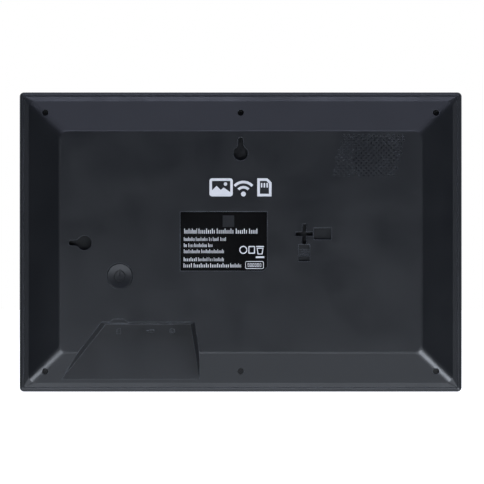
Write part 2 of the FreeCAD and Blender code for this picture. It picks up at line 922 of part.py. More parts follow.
def grille_holes():
    """Centres of the staggered grille holes that fall inside the leaning outline."""
    middle_x = s.grille_middle_x.value
    pitch_x = s.grille_pitch_x.value
    pitch_z = s.grille_pitch_z.value
    holes = []
    for row in range(GRILLE_ROWS):
        z = s.grille_top_z.value - row * pitch_z
        shift = pitch_x / 2 if row % 2 else 0
        lean = (GRILLE_ROWS - 1 - 2 * row) * pitch_z * s.grille_slant.value
        for column in GRILLE_COLUMNS:
            x = middle_x + column * pitch_x + shift
            if abs(x - middle_x + lean) <= s.grille_half_wide.value:
                holes.append((x, z))
    return holes


def make_grille_cutters():
    """Cylinders for the grille: right through over the speaker, and shallow around it."""
    cutters = []
    for x, z in grille_holes():
        off_centre = math.hypot(x - s.speaker_x.value, z - s.speaker_z.value)
        is_open = off_centre <= s.speaker_open_radius.value
        deep = s.cover_wall.value + s.overrun.value if is_open else s.grille_dimple_deep.value
        start = Vector(x, s.depth.value - deep, z)
        radius = s.grille_hole_radius.value
        cutters.append(Part.makeCylinder(radius, deep + s.overrun.value, start, Vector(0, 1, 0)))
    item = doc.addObject("Part::Feature", "grille_cutters")
    item.Shape = Part.makeCompound(cutters)
    return item


def board_hole_places():
    """The four corners where the main board is screwed down."""
    return [(s.board_x + side * s.board_hole_x, s.board_z + end * s.board_hole_z)
            for side in (-1, 1) for end in (-1, 1)]


def speaker_ear_places():
    """The speaker's two screw ears, left and right of it."""
    return [(s.speaker_x + side * s.ear_reach, s.speaker_z) for side in (-1, 1)]


def cover_additions():
    """Everything that stands on the inside of the shell, before it is hollowed."""
    items = [make_bay("bay_walls", s.cover_wall.value, s.bay_floor_level - s.bay_floor_thick)]
    for name, x, z, along_x in KEYHOLES:
        items.append(keyhole_pocket(name + "_block", x, z, along_x, s.keyhole_wall, s.keyhole_wall))
    items += stand_socket_blocks()
    for x, z in housing_screw_places():
        items.append(rod("well_tube", x, s.boss_top_level, z, s.well_tube_radius,
                         panel_level - s.boss_top_level))
    for x, z in board_hole_places():
        items.append(rod("board_boss", x, board_back, z, s.boss_radius,
                         panel_inner - board_back + s.overrun))
    for x, z in speaker_ear_places():
        items.append(rod("speaker_boss", x, speaker_rim_level + s.speaker_rim_thick, z,
                         s.boss_radius, s.depth - speaker_rim_level - s.speaker_rim_thick - s.overrun))
    rib_front = s.button_back_level - s.button_flange_thick
    rib_z = s.button_z + s.button_flange_radius + s.overrun + s.rib_tall / 2
    for side in (-1, 1):
        rib_x = s.button_x + side * (s.button_tab_wide / 2 + s.rib_gap + s.rib_thick / 2)
        items.append(inner_block("button_rib", rib_x, rib_z, s.rib_thick, s.rib_tall, rib_front))
    backing_z = notch_top_z - s.overrun + s.notch_backing_tall / 2
    items.append(inner_block("notch_backing", s.card_x, backing_z,
                             s.notch_wide + 2 * s.notch_backing_side, s.notch_backing_tall,
                             s.notch_level - s.notch_backing_deep))
    return items


def bay_wall_openings():
    """The holes in the port bay's top wall for a card, a USB plug and a power plug."""
    middle_z = s.bay_top_z + (s.cover_wall + s.bay_top_draft) / 2
    tall = s.cover_wall + s.bay_top_draft + 2 * s.overrun
    return [
        block("card_slit", s.card_x, board_back + s.plug_clear, middle_z,
              s.card_slit_wide, s.card_slit_thick, tall),
        block("usb_hole", s.usb_x, board_back - s.plug_clear, middle_z,
              s.usb_hole_wide, s.usb_hole_thick, tall),
        rod("inlet_hole", s.inlet_x, s.inlet_level, middle_z - tall / 2,
            s.inlet_nose_radius + s.plug_clear, tall, UP),
    ]


def make_finger_notch():
    """The scoop in the bay's upper edge that lets a finger push a card home."""
    body = new_body("finger_notch")
    sketch = sketch_at(body, s.notch_level)
    low = s.bay_top_z - s.overrun
    draw_polygon(sketch, [
        (s.card_x - s.notch_wide / 2, low),
        (s.card_x + s.notch_wide / 2, low),
        (s.card_x + s.notch_wide / 2, notch_edge_z),
        (s.card_x + s.notch_flat / 2, notch_top_z),
        (s.card_x - s.notch_flat / 2, notch_top_z),
        (s.card_x - s.notch_wide / 2, notch_edge_z),
    ])
    pad(body, sketch, s.depth - s.notch_level + s.overrun)
    return body


def bay_icons():
    """Shallow engraved picture signs on the bay floor: a card, a cable plug and a power plug."""
    z = s.bay_top_z - s.icon_drop
    half = s.icon_half
    narrow = half * 0.75
    corner = half / 2
    body = new_body("bay_icons")
    signs = sketch_at(body, s.bay_floor_level - s.icon_deep)
    draw_polygon(signs, [
        (s.card_x - narrow, z - half),
        (s.card_x + narrow, z - half),
        (s.card_x + narrow, z + half - corner),
        (s.card_x + narrow - corner, z + half),
        (s.card_x - narrow, z + half),
    ])
    draw_rectangle(signs, s.usb_x - corner, z, 2 * half, half)
    draw_rectangle(signs, s.usb_x + half, z, corner, corner)
    draw_circle(signs, s.inlet_x, z, half)
    draw_circle(signs, s.inlet_x, z, corner)
    pad(body, signs, s.icon_deep + s.overrun)
    return body


def label_outline(sketch, margin):
    """The rating label's outline, with one cut corner, grown by a margin."""
    left = s.label_x - s.label_wide / 2 - margin
    right = s.label_x + s.label_wide / 2 + margin
    low = s.label_z - s.label_tall / 2 - margin
    high = s.label_z + s.label_tall / 2 + margin
    draw_polygon(sketch, [
        (left + s.label_chamfer, low),
        (right, low),
        (right, high),
        (left, high),
        (left, low + s.label_chamfer),
    ])


def make_label_recess():
    body = new_body("label_recess")
    sketch = sketch_at(body, panel_level - s.label_recess)
    label_outline(sketch, s.label_margin)
    pad(body, sketch, s.label_recess + s.overrun)
    return body


def cover_openings():
    """Everything that is taken away from the rear cover."""
    items = [make_bay("bay_hollow", 0, s.bay_floor_level)]
    for name, x, z, along_x in KEYHOLES:
        items.append(keyhole(name + "_hole", x, z, along_x))
        items.append(keyhole_pocket(name + "_room", x, z, along_x, as_size(0), as_size(0)))
    items += stand_socket_hollows()
    for x, z in housing_screw_places():
        items.append(rod("well", x, s.well_floor_level, z, s.well_radius, s.depth))
        items.append(rod("well_hole", x, flange_level, z, s.screw_hole_radius, s.depth))
    for x, z in board_hole_places():
        items.append(rod("board_pilot", x, s.board_level, z, s.pilot_radius,
                         s.screw_length + s.tip_room))
    for x, z in speaker_ear_places():
        items.append(rod("speaker_pilot", x, speaker_rim_level, z, s.pilot_radius,
                         s.short_screw + s.tip_room))
    items.append(rod("button_hole", s.button_x, panel_inner - s.overrun, s.button_z,
                     s.button_radius + s.button_gap, s.cover_wall + 2 * s.overrun))
    items += bay_wall_openings()
    items.append(make_finger_notch())
    items.append(bay_icons())
    items.append(make_label_recess())
    return items


def make_rear_cover():
    hull = make_hull()
    shell = cut("cover_shell", hull, make_cavity())
    inside = common("cover_inside", hull, joined("cover_additions", cover_additions()))
    whole = joined("cover_whole", [shell, inside])
    opened = cut("cover_opened", whole, *cover_openings())
    drilled = cut("cover_drilled", opened, make_grille_cutters())
    ridged = joined("rear_cover", [drilled] + stand_socket_ridges())
    at_home(ridged, "rear_cover")


# ---------------------------------------------------------------- rating label


def make_rating_label():
    """A thin sticker with a square window and one cut corner."""
    body = new_body("rating_label")
    sketch = sketch_at(body, panel_level - s.label_recess)
    label_outline(sketch, as_size(0))
    draw_rectangle(sketch, s.label_window_x, s.label_window_z, s.label_window, s.label_window)
    pad(body, sketch, s.label_thick)
    at_home(body, "rating_label")


# ---------------------------------------------------------------- touch glass and display

display_back = s.display_level + s.display_thick
module_inner_wide = s.display_width - 2 * s.pan_thick
module_inner_tall = s.display_height - 2 * s.pan_thick
cell_wide = s.active_width + 2 * s.cell_side
sheet_wide = s.active_width + 2 * s.sheet_side
sheet_tall = s.active_height + 2 * s.sheet_end
sheet_z = s.active_rise - s.sheet_drop
led_z = s.led_inset - s.display_height / 2


def make_glass():
    wide = s.width - 2 * s.glass_margin
    tall = s.height - 2 * s.glass_margin
    glass = plate("touch_glass", s.glass_level, s.glass_thick, 0, 0, wide, tall, s.glass_radius)
    at_home(glass, "touch_glass")
    back = s.glass_level + s.glass_thick
    inset, reach = 2 * s.tape_inset, 2 * s.tape_reach
    tape_outer = (0, 0, wide - inset, tall - inset)
    tape_inner = (0, 0, s.display_width + reach, s.display_height + reach)
    tape = frame_ring("glass_tape", back, s.ledge_level - back, tape_outer, tape_inner, s.tape_radius)
    at_home(tape, "glass_tape")
    inner_wide = s.active_width + 2 * s.gasket_margin
    inner_tall = s.active_height + 2 * s.gasket_margin
    gasket_inner = (0, s.active_rise, inner_wide, inner_tall)
    gasket_outer = (0, s.active_rise, inner_wide + 2 * s.gasket_side, inner_tall + 2 * s.gasket_end)
    gasket = frame_ring("display_gasket", back, s.display_level - back,
                        gasket_outer, gasket_inner, s.gasket_radius)
    at_home(gasket, "display_gasket")


def make_cell():
    """The liquid crystal cell: two glasses between two polarizers, with driver chips on its ledge."""
    polar_wide = s.active_width + 2 * s.polarizer_side
    polar_tall = s.active_height + 2 * s.polarizer_end
    level = s.display_level
    front = plate("front_polarizer", level, s.polarizer_thick, 0, s.active_rise, polar_wide, polar_tall)
    at_home(front, "front_polarizer")
    level = level + s.polarizer_thick
    filter_tall = s.active_height + 2 * s.filter_end
    colour = plate("colour_filter_glass", level, s.cell_thick, 0, s.active_rise, cell_wide, filter_tall)
    at_home(colour, "colour_filter_glass")
    ledge_level = level + s.cell_thick
    transistor = plate("transistor_glass", ledge_level, s.cell_thick, 0, 0,
                       cell_wide, s.display_height - 2 * s.cell_end_room)
    at_home(transistor, "transistor_glass")
    chip_level = ledge_level - s.driver_thick
    chip_z = s.active_rise - filter_tall / 2 - s.driver_tall
    chip_size = s.driver_long, s.driver_thick, s.driver_tall
    chips = [block("driver_chip", as_size(x), chip_level, chip_z, *chip_size) for x in DRIVER_PLACES]
    at_home(together("display_drivers", chips), "display_drivers")
    level = ledge_level + s.cell_thick
    rear = plate("rear_polarizer", level, s.polarizer_thick, 0, s.active_rise, polar_wide, polar_tall)
    at_home(rear, "rear_polarizer")
    return level + s.polarizer_thick


def make_backlight(level):
    """The films, the light guide and its row of lamps, from the cell back to the pan."""
    for name in ("upper_prism_sheet", "lower_prism_sheet", "diffuser_sheet"):
        sheet = plate(name, level, s.sheet_thick, 0, sheet_z, sheet_wide, sheet_tall)
        at_home(sheet, name)
        level = level + s.sheet_thick
    guide = plate("light_guide", level, s.guide_thick, 0, sheet_z, sheet_wide, sheet_tall)
    at_home(guide, "light_guide")
    lamps = []
    for number in BACKLIGHT_LAMPS:
        lamps.append(block("backlight_led", number * s.led_pitch, level, led_z,
                           s.led_long, s.guide_thick, s.led_tall))
    at_home(together("backlight_leds", lamps), "backlight_leds")
    level = level + s.guide_thick
    strip_z = led_z + s.strip_rise
    reflector_low = strip_z + s.strip_tall / 2 + s.strip_gap
    reflector_high = sheet_z + sheet_tall / 2
    reflector = plate("reflector_sheet", level, s.sheet_thick, 0, (reflector_low + reflector_high) / 2,
                      sheet_wide, reflector_high - reflector_low)
    at_home(reflector, "reflector_sheet")
    strip = plate("backlight_strip", level, s.sheet_thick, 0, strip_z,
                  sheet_wide - 2 * s.strip_inset, s.strip_tall)
    at_home(strip, "backlight_strip")


def make_display_housing():
    """The white plastic frame around the light guide and the steel pan that closes the module."""
    seat_level = s.display_level + s.polarizer_thick + 2 * s.cell_thick
    pan_floor = display_back - s.pan_thick
    body = new_body("display_frame")
    ring = sketch_at(body, seat_level)
    frame_wide = module_inner_wide - 2 * s.module_gap
    frame_tall = module_inner_tall - 2 * s.module_gap
    draw_rounded(ring, 0, 0, frame_wide, frame_tall, s.pan_radius)
    draw_rectangle(ring, 0, 0, sheet_wide + 2 * s.sheet_gap, frame_tall - 2 * s.rail_rise)
    pad(body, ring, pan_floor - seat_level)
    rails = sketch_at(body, seat_level - s.rail_rise)
    between_rails = cell_wide + 2 * s.rail_gap
    rail_x = (between_rails + frame_wide) / 4
    rail_wide = (frame_wide - between_rails) / 2
    for side in (-1, 1):
        draw_rectangle(rails, side * rail_x, 0, rail_wide, frame_tall - 2 * s.pan_radius)
    pad(body, rails, s.rail_rise)
    at_home(body, "display_frame")

    pan = new_body("display_back_pan")
    pan_front = s.display_level + s.pan_lip
    outline = sketch_at(pan, pan_front)
    draw_rounded(outline, 0, 0, s.display_width, s.display_height, s.pan_radius)
    pad(pan, outline, display_back - pan_front)
    room = sketch_at(pan, pan_front)
    draw_rounded(room, 0, 0, module_inner_wide, module_inner_tall, s.pan_radius - s.pan_thick)
    pocket(pan, room, pan_floor - pan_front)
    at_home(pan, "display_back_pan")


def make_display_brackets():
    """Four flat steel brackets that clamp the display to the bezel, and their screws."""
    brackets = []
    screws = []
    for number, (x, z) in enumerate(bracket_places()):
        side = 1 if x.value > 0 else -1
        strap = block("bracket_strap", x - side * s.bracket_shift, display_back, z,
                      s.bracket_wide, s.bracket_thick, s.bracket_tall)
        hole = rod("bracket_hole", x, display_back - s.overrun, z, s.screw_hole_radius,
                   s.bracket_thick + 2 * s.overrun)
        brackets.append(cut("display_bracket", strap, hole))
        screws.append(cross_screw(f"bracket_screw_{number}", x, display_back + s.bracket_thick, z,
                                  s.short_screw))
    at_home(together("display_brackets", brackets), "display_brackets")
    at_home(together("bracket_screws", screws), "bracket_screws")


# ---------------------------------------------------------------- flat cables and round leads


def rounded_path(points, bend):
    """A wire of straight runs joined by arcs, as large as bend where the runs allow it."""
    edges = []
    start = points[0]
    for before, corner, after in zip(points, points[1:], points[2:]):
        back, ahead = before - corner, after - corner
        half_angle = back.getAngle(ahead) / 2
        reach = min(bend / math.tan(half_angle), 0.45 * min(back.Length, ahead.Length))
        back.normalize()
        ahead.normalize()
        begin, end = corner + back * reach, corner + ahead * reach
        inward = (back + ahead).normalize()
        radius = reach * math.tan(half_angle)
        middle = corner + inward * (math.hypot(radius, reach) - radius)
        edges.append(Part.LineSegment(start, begin).toShape())
        edges.append(Part.Arc(begin, middle, end).toShape())
        start = end
    edges.append(Part.LineSegment(start, points[-1]).toShape())
    return Part.Wire(edges)


def flat_cable(label, x, wide, route):
    """A flat cable of even width that follows (level, z) points."""
    path = rounded_path([Vector(x.value, level, z) for level, z in route], 1.0)
    heading = route[1][0] - route[0][0], route[1][1] - route[0][1]
    along = Vector(0, *heading).normalize()
    half = Vector(wide.value / 2, 0, 0)
    rise = along.cross(Vector(1, 0, 0)) * (s.flex_thick.value / 2)
    start = path.Vertexes[0].Point
    corners = [start - half - rise, start + half - rise, start + half + rise, start - half + rise]
    profile = Part.makePolygon(corners + corners[:1])
    solid_part(label, path.makePipeShell([profile], True, False))


def round_lead(points):
    """An insulated wire along straight runs and arcs, through (x, level, z) points."""
    path = rounded_path([Vector(*point) for point in points], 4.0)
    start = path.Vertexes[0].Point
    along = Vector(*points[1]) - Vector(*points[0])
    profile = Part.Wire(Part.makeCircle(s.lead_radius.value, start, along))
    return path.makePipeShell([profile], True, False)


def make_flat_cables():
    """The display's cable and the touch glass's cable, folded round the display to the board."""
    turn_z = -half_height.value + 13.4
    behind = display_back.value + 0.35
    rise_z = s.bay_top_z.value + 3.6
    arrive = s.board_level.value - 0.55
    end_z = connector_z.value - 1.0
    ledge_front = (s.display_level + s.polarizer_thick + s.cell_thick - s.flex_thick / 2).value
    glass_back = (s.glass_level + s.glass_thick + s.flex_thick / 2).value
    for label, x, wide, front in (
        ("display_flex", s.display_flex_x, s.display_flex_wide, ledge_front),
        ("touch_flex", s.touch_flex_x, s.touch_flex_wide, glass_back),
    ):
        flat_cable(label, x, wide, [
            (front, turn_z + 3.0),
            (front, turn_z),
            (behind, turn_z),
            (behind, rise_z),
            (arrive, rise_z + 7.5),
            (arrive, end_z),
        ])


def make_leads():
    """Two speaker wires and the aerial's coaxial lead, inside the rear cover."""
    start_x = s.speaker_x.value + 6.2
    start_z = s.speaker_z.value - 6.2
    start_level = basket_front.value
    plug_x = speaker_plug_x.value - 0.8
    wires = []
    for step in (0.0, 1.6):
        wires.append(round_lead([
            (start_x + step, start_level, start_z + step),
            (start_x + step, start_level - 3.0, start_z + step),
            (start_x + 14 + step, start_level - 2.0, start_z - 12 + step),
            (-10.0 + step, 17.5, 30.0 + step),
            (plug_x + step, 17.6, 24.0 + step),
            (plug_x + step, board_back.value + 1.4, 4.4),
        ]))
    solid_part("speaker_leads", Part.makeCompound(wires))
    solid_part("aerial_lead", round_lead([
        (s.aerial_x.value, panel_inner.value - 0.8, s.aerial_z.value - 6.0),
        (s.aerial_x.value + 4, 19.0, 36.0),
        (wireless_x.value, 18.6, 18.0),
        (wireless_x.value, board_back.value + 1.2, wireless_z.value + 7.0),
    ]))


# ---------------------------------------------------------------- main board

connector_z = s.board_z - 11.5
speaker_plug_x = s.board_x - 19.5
wireless_x = s.board_x - 6.0
wireless_z = s.board_z + 12.5


def on_front(name, x, z, size=None):
    """A component on the board's display side."""
    wide, tall, thick = size or COMPONENTS[name]
    return block(name, x, s.board_level - thick, z, as_size(wide), as_size(thick), as_size(tall))


def on_back(name, x, z, size=None):
    """A component on the board's cover side."""
    wide, tall, thick = size or COMPONENTS[name]
    return block(name, x, board_back, z, as_size(wide), as_size(thick), as_size(tall))


def make_board():
    body = new_body("main_board")
    sketch = sketch_at(body, s.board_level)
    draw_rounded(sketch, s.board_x, s.board_z, s.board_wide, s.board_tall, 1.5)
    for x, z in board_hole_places():
        draw_circle(sketch, x, z, s.screw_hole_radius)
    pad(body, sketch, s.board_thick)
    at_home(body, "main_board")
    screws = []
    for number, (x, z) in enumerate(board_hole_places()):
        screws.append(cross_screw(f"board_screw_{number}", x, s.board_level, z, s.screw_length, False))
    at_home(together("board_screws", screws), "board_screws")


def make_front_components():
    """The processor, its memory and the shield over them, and the flat cables' connectors."""
    shielded_z = s.board_z + 9.0
    at_home(on_front("processor", s.board_x, shielded_z), "processor")
    beside = 14.5
    chips = [
        on_front("memory_chip", s.board_x - beside, shielded_z),
        on_front("storage_chip", s.board_x + beside, shielded_z),
    ]
    at_home(together("memory_chips", chips), "memory_chips")
    can = on_front("can_outside", s.board_x, shielded_z)
    room = on_front("can_inside", s.board_x, shielded_z)
    at_home(cut("shield_can", can, room), "shield_can")
    for label, x, wide in (
        ("display_connector", s.display_flex_x, s.display_flex_wide),
        ("touch_connector", s.touch_flex_x, s.touch_flex_wide),
    ):
        plug = on_front(label + "_blank", x, connector_z + 1.6, (wide + 3, 5.0, 1.3))
        mouth = on_front(label + "_mouth", x, connector_z - 0.1, (wide + 0.4, 2.2, 0.8))
        at_home(cut(label, plug, mouth), label)


def make_back_components():
    """The radio module, power coils, capacitors and the speaker connector."""
    at_home(on_back("wireless_module", wireless_x, wireless_z), "wireless_module")
    coils = [on_back("power_coil", s.board_x - beside, s.board_z - 6.0) for beside in (16.0, 9.0)]
    at_home(together("power_coils", coils), "power_coils")
    row = [on_back("capacitor", s.board_x + beside, s.board_z - 11.5) for beside in range(-20, 8, 4)]
    at_home(together("capacitors", row), "capacitors")
    at_home(on_back("speaker_connector", speaker_plug_x, 1.9), "speaker_connector")


# ---------------------------------------------------------------- sockets


def make_card_socket():
    """A flat steel card cage, open at its mouth, which faces down into the port bay."""
    middle_z = s.socket_mouth_z + s.cage_rise + s.cage_long / 2
    outside = block("card_cage", s.card_x, board_back, middle_z, s.cage_wide, s.cage_thick, s.cage_long)
    inside = block("card_room", s.card_x, board_back + s.cage_sheet, middle_z - s.overrun,
                   s.cage_room_wide, s.cage_room_thick, s.cage_long)
    at_home(cut("card_socket", outside, inside), "card_socket")


def make_usb_socket():
    """A small USB socket: a steel shell with rounded sides, and the tongue inside it."""
    middle_level = board_back + s.usb_thick / 2 + s.usb_lift
    body = new_body("usb_socket")
    place(body, s.usb_x, middle_level, s.socket_mouth_z)
    shell = upward_sketch(body, "usb_shell_sketch")
    draw_rounded(shell, 0, 0, s.usb_wide, s.usb_thick, s.usb_radius)
    solid = pad(body, shell, s.usb_deep)
    solid.Reversed = False
    room = upward_sketch(body, "usb_room_sketch")
    draw_rounded(room, 0, 0, s.usb_wide - 2 * s.usb_sheet, s.usb_thick - 2 * s.usb_sheet,
                 s.usb_radius - s.usb_sheet)
    hollow = pocket(body, room, s.usb_deep - s.usb_back)
    hollow.Reversed = True
    at_home(body, "usb_socket")
    tongue_long = s.usb_deep - s.usb_back - s.usb_radius
    tongue_z = s.socket_mouth_z + s.usb_deep - s.usb_back - tongue_long / 2
    tongue = block("usb_tongue", s.usb_x, middle_level - s.usb_tongue_thick / 2, tongue_z,
                   s.usb_tongue_wide, s.usb_tongue_thick, tongue_long)
    at_home(tongue, "usb_tongue")


def make_power_inlet():
    """The low-voltage power inlet: a moulded body with a round nose, and its centre pin."""
    nose_z = s.socket_mouth_z
    housing_z = nose_z + s.inlet_nose_long - s.inlet_nose_overlap + s.inlet_long / 2
    housing = block("inlet_housing", s.inlet_x, board_back, housing_z,
                    s.inlet_wide, s.inlet_thick, s.inlet_long)
    nose = rod("inlet_nose", s.inlet_x, s.inlet_level, nose_z, s.inlet_nose_radius, s.inlet_nose_long, UP)
    bore = rod("inlet_bore", s.inlet_x, s.inlet_level, nose_z - s.overrun, s.inlet_bore_radius,
               s.inlet_bore_long + s.overrun, UP)
    at_home(cut("power_inlet", joined("inlet_blank", [housing, nose]), bore), "power_inlet")
    pin = rod("inlet_pin", s.inlet_x, s.inlet_level, nose_z + 2 * s.overrun, s.inlet_pin_radius,
              s.inlet_bore_long - 2 * s.overrun, UP)
    at_home(pin, "inlet_pin")


# ---------------------------------------------------------------- power button and push switch


def standby_symbol(level):
    """The engraved standby sign: a ring open at the top, with an upright bar in the gap."""
    half_line = s.symbol_line / 2
    outer = rod("symbol_outer", s.button_x, level, s.button_z, s.symbol_radius + half_line, 2.0)
    inner = rod("symbol_inner", s.button_x, level - 1, s.button_z, s.symbol_radius - half_line, 4.0)
    opening = block("symbol_opening", s.button_x, level - 1, s.button_z + s.symbol_radius,
                    3 * s.symbol_line, 4.0, s.symbol_radius)
    ring = cut("symbol_ring", outer, inner, opening)
    bar = block("symbol_bar", s.button_x, level, s.button_z + s.symbol_radius * 0.75,
                s.symbol_line, 2.0, s.symbol_radius * 1.1)
    return [ring, bar]


def button_section(sketch, dish_radius):
    """Half of the cap's section: post, flange, skirt and dished face."""
    post_level = board_back + s.switch_thick + s.plunger_rise + s.touch_gap
    flange_back = s.button_back_level + s.button_flange_thick
    dish_level = s.button_face_level - s.button_dish
    corners = [
        (as_size(0), dish_level),
        (as_size(0), post_level),
        (s.button_post_radius, post_level),
        (s.button_post_radius, s.button_back_level),
        (s.button_flange_radius, s.button_back_level),
        (s.button_flange_radius, flange_back),
        (s.button_radius, flange_back),
        (s.button_radius, s.button_face_level),
    ]
    for number, (here, there) in enumerate(zip(corners, corners[1:])):
        start = Vector(here[0].value, here[1].value, 0)
        end = Vector(there[0].value, there[1].value, 0)
        sketch.addGeometry(Part.LineSegment(start, end))
        if number:
            sketch.addConstraint(Sketcher.Constraint("Coincident", number - 1, 2, number, 1))
        hold(sketch, "DistanceX", number, 1, here[0])
        hold(sketch, "DistanceY", number, 1, here[1])
    last = len(corners) - 2
    hold(sketch, "DistanceX", last, 2, corners[-1][0])
    hold(sketch, "DistanceY", last, 2, corners[-1][1])
    centre = Vector(0, (dish_level + dish_radius).value, 0)
    circle = Part.Circle(centre, Vector(0, 0, 1), dish_radius.value)
    edge_angle = math.asin(s.button_radius.value / dish_radius.value) - math.pi / 2
    dish = sketch.addGeometry(Part.ArcOfCircle(circle, -math.pi / 2, edge_angle))
    sketch.addConstraint(Sketcher.Constraint("Coincident", dish, 1, 0, 1))
    sketch.addConstraint(Sketcher.Constraint("Coincident", dish, 2, last, 2))
    hold(sketch, "DistanceX", dish, 3, as_size(0))


def make_power_button():
    """A dished cap with a flange that keeps it in the cover, a key tab and a post."""
    radius, dish = s.button_radius, s.button_dish
    dish_radius = (radius * radius + dish * dish) / (2 * dish)
    body = new_body("button_cap")
    place(body, s.button_x, 0, s.button_z)
    section = upward_sketch(body, "button_section")
    button_section(section, dish_radius)
    turn(body, section)
    round_edges(body, s.button_edge_round, lambda edge: lies_at(edge, s.button_face_level))
    tab_z = s.button_z + s.button_flange_radius + s.button_tab_long / 2 - s.overrun
    tab = block("button_tab", s.button_x, s.button_back_level, tab_z,
                s.button_tab_wide, s.button_flange_thick, s.button_tab_long)
    symbol_level = s.button_face_level - dish - s.symbol_deep
    blank = joined("button_blank", [body, tab])
    at_home(cut("power_button", blank, *standby_symbol(symbol_level)), "power_button")


def make_push_switch():
    """The tactile switch on the board: a square base and the plunger that slides in it."""
    size = s.switch_side, s.switch_side, s.switch_thick
    base = on_back("switch_blank", s.button_x, s.button_z, size)
    top = board_back + s.switch_thick
    well = rod("switch_well", s.button_x, top - s.plunger_depth - 0.7, s.button_z,
               s.plunger_radius + 0.05, s.plunger_depth + 2)
    at_home(cut("switch_base", base, well), "switch_base")
    plunger = rod("switch_plunger", s.button_x, top - s.plunger_depth, s.button_z,
                  s.plunger_radius, s.plunger_depth + s.plunger_rise)
    at_home(plunger, "switch_plunger")


# ---------------------------------------------------------------- speaker and aerial

speaker_rim_level = panel_inner - s.gasket_thick - s.speaker_rim_thick
basket_front = speaker_rim_level - s.basket_deep


def revolved(name, x, z, corners):
    """A body turned about an axis that runs front to back; corners are (radius, level)."""
    body = new_body(name)
    place(body, x, 0, z)
    sketch = upward_sketch(body, name + "_sketch")
    draw_polygon(sketch, corners)
    turn(body, sketch)
    return body


def make_speaker():
    """A round speaker that faces the grille: basket with two ears, cone, magnet and gasket."""
    sheet = as_size(0.5)
    rim_back = speaker_rim_level + s.speaker_rim_thick
    basket = revolved("speaker_basket", s.speaker_x, s.speaker_z, [
        (as_size(0), basket_front),
        (s.speaker_radius - 4, basket_front),
        (s.speaker_radius - 1, speaker_rim_level),
        (s.speaker_radius, speaker_rim_level),
        (s.speaker_radius, rim_back),
        (s.speaker_radius - 1.5, rim_back),
        (s.speaker_radius - 1.5, speaker_rim_level + sheet),
        (s.speaker_radius - 4.5, basket_front + sheet),
        (as_size(0), basket_front + sheet),
    ])
    ears = []
    for x, z in speaker_ear_places():
        side = 1 if x.value > s.speaker_x.value else -1
        lobe = rod("ear_lobe", x, speaker_rim_level, z, s.ear_radius, s.speaker_rim_thick)
        arm_long = s.ear_reach - s.speaker_radius + 0.6
        arm = block("ear_arm", x - side * arm_long / 2, speaker_rim_level, z,
                    arm_long, s.speaker_rim_thick, 2 * s.ear_radius)
        hole = rod("ear_hole", x, speaker_rim_level - 1, z, s.screw_hole_radius, 3.0)
        ears.append(cut("speaker_ear", joined("ear_blank", [lobe, arm]), hole))
    at_home(joined("speaker_frame", [basket] + ears), "speaker_frame")
    screws = []
    for number, (x, z) in enumerate(speaker_ear_places()):
        screws.append(cross_screw(f"speaker_screw_{number}", x, speaker_rim_level, z,
                                  s.short_screw, False))
    at_home(together("speaker_screws", screws), "speaker_screws")
    cone_level = basket_front + 1.2
    paper = revolved("speaker_cone", s.speaker_x, s.speaker_z, [
        (as_size(0), cone_level + 0.9),
        (as_size(2.4), cone_level + 0.5),
        (as_size(3.6), cone_level),
        (s.speaker_radius - 2.6, rim_back - 0.5),
        (s.speaker_radius - 1.7, rim_back - 0.5),
        (s.speaker_radius - 1.7, rim_back - 0.3),
        (s.speaker_radius - 2.7, rim_back - 0.3),
        (as_size(3.6), cone_level + 0.25),
        (as_size(2.4), cone_level + 0.75),
        (as_size(0), cone_level + 1.15),
    ])
    at_home(paper, "speaker_cone")
    magnet = rod("speaker_magnet", s.speaker_x, basket_front - s.magnet_thick, s.speaker_z,
                 s.magnet_radius, s.magnet_thick)
    at_home(magnet, "speaker_magnet")
    gasket = revolved("speaker_gasket", s.speaker_x, s.speaker_z, [
        (s.speaker_radius - 1.3, rim_back),
        (s.speaker_radius, rim_back),
        (s.speaker_radius, panel_inner),
        (s.speaker_radius - 1.3, panel_inner),
    ])
    at_home(gasket, "speaker_gasket")


def make_aerial():
    """A film aerial stuck to the inside of the panel, near the top."""
    film = block("aerial", s.aerial_x, panel_inner - s.aerial_thick, s.aerial_z,
                 s.aerial_wide, s.aerial_thick, s.aerial_tall)
    at_home(film, "aerial")


# ---------------------------------------------------------------- the whole frame


def check_subparts():
    """Stop if any object failed or any sub-part has a bad shape."""
    for item in doc.Objects:
        if "Invalid" in item.State or "Error" in item.State:
            raise RuntimeError(f"{item.Name} failed: {item.State}")
    for item in subparts:
        if item.Shape.isNull() or not item.Shape.isValid() or not item.Shape.Solids:
            raise RuntimeError(f"{item.Label} has a bad shape")


def write_subparts():
    os.makedirs("parts", exist_ok=True)
    for item in subparts:
        item.Shape.exportStep(f"parts/{item.Label}.step")
        print(f"{item.Label}: {len(item.Shape.Solids)} solids, {item.Shape.Volume:.1f} mm3")


make_front_bezel()
make_rear_cover()
make_housing_screws()
make_rating_label()
make_glass()
make_backlight(make_cell())
make_display_housing()
make_display_brackets()
make_flat_cables()
make_board()
make_front_components()
make_back_components()
make_card_socket()
make_usb_socket()
make_power_inlet()
make_power_button()
make_push_switch()
make_speaker()
make_aerial()
make_leads()
doc.recompute()
check_subparts()
write_subparts()
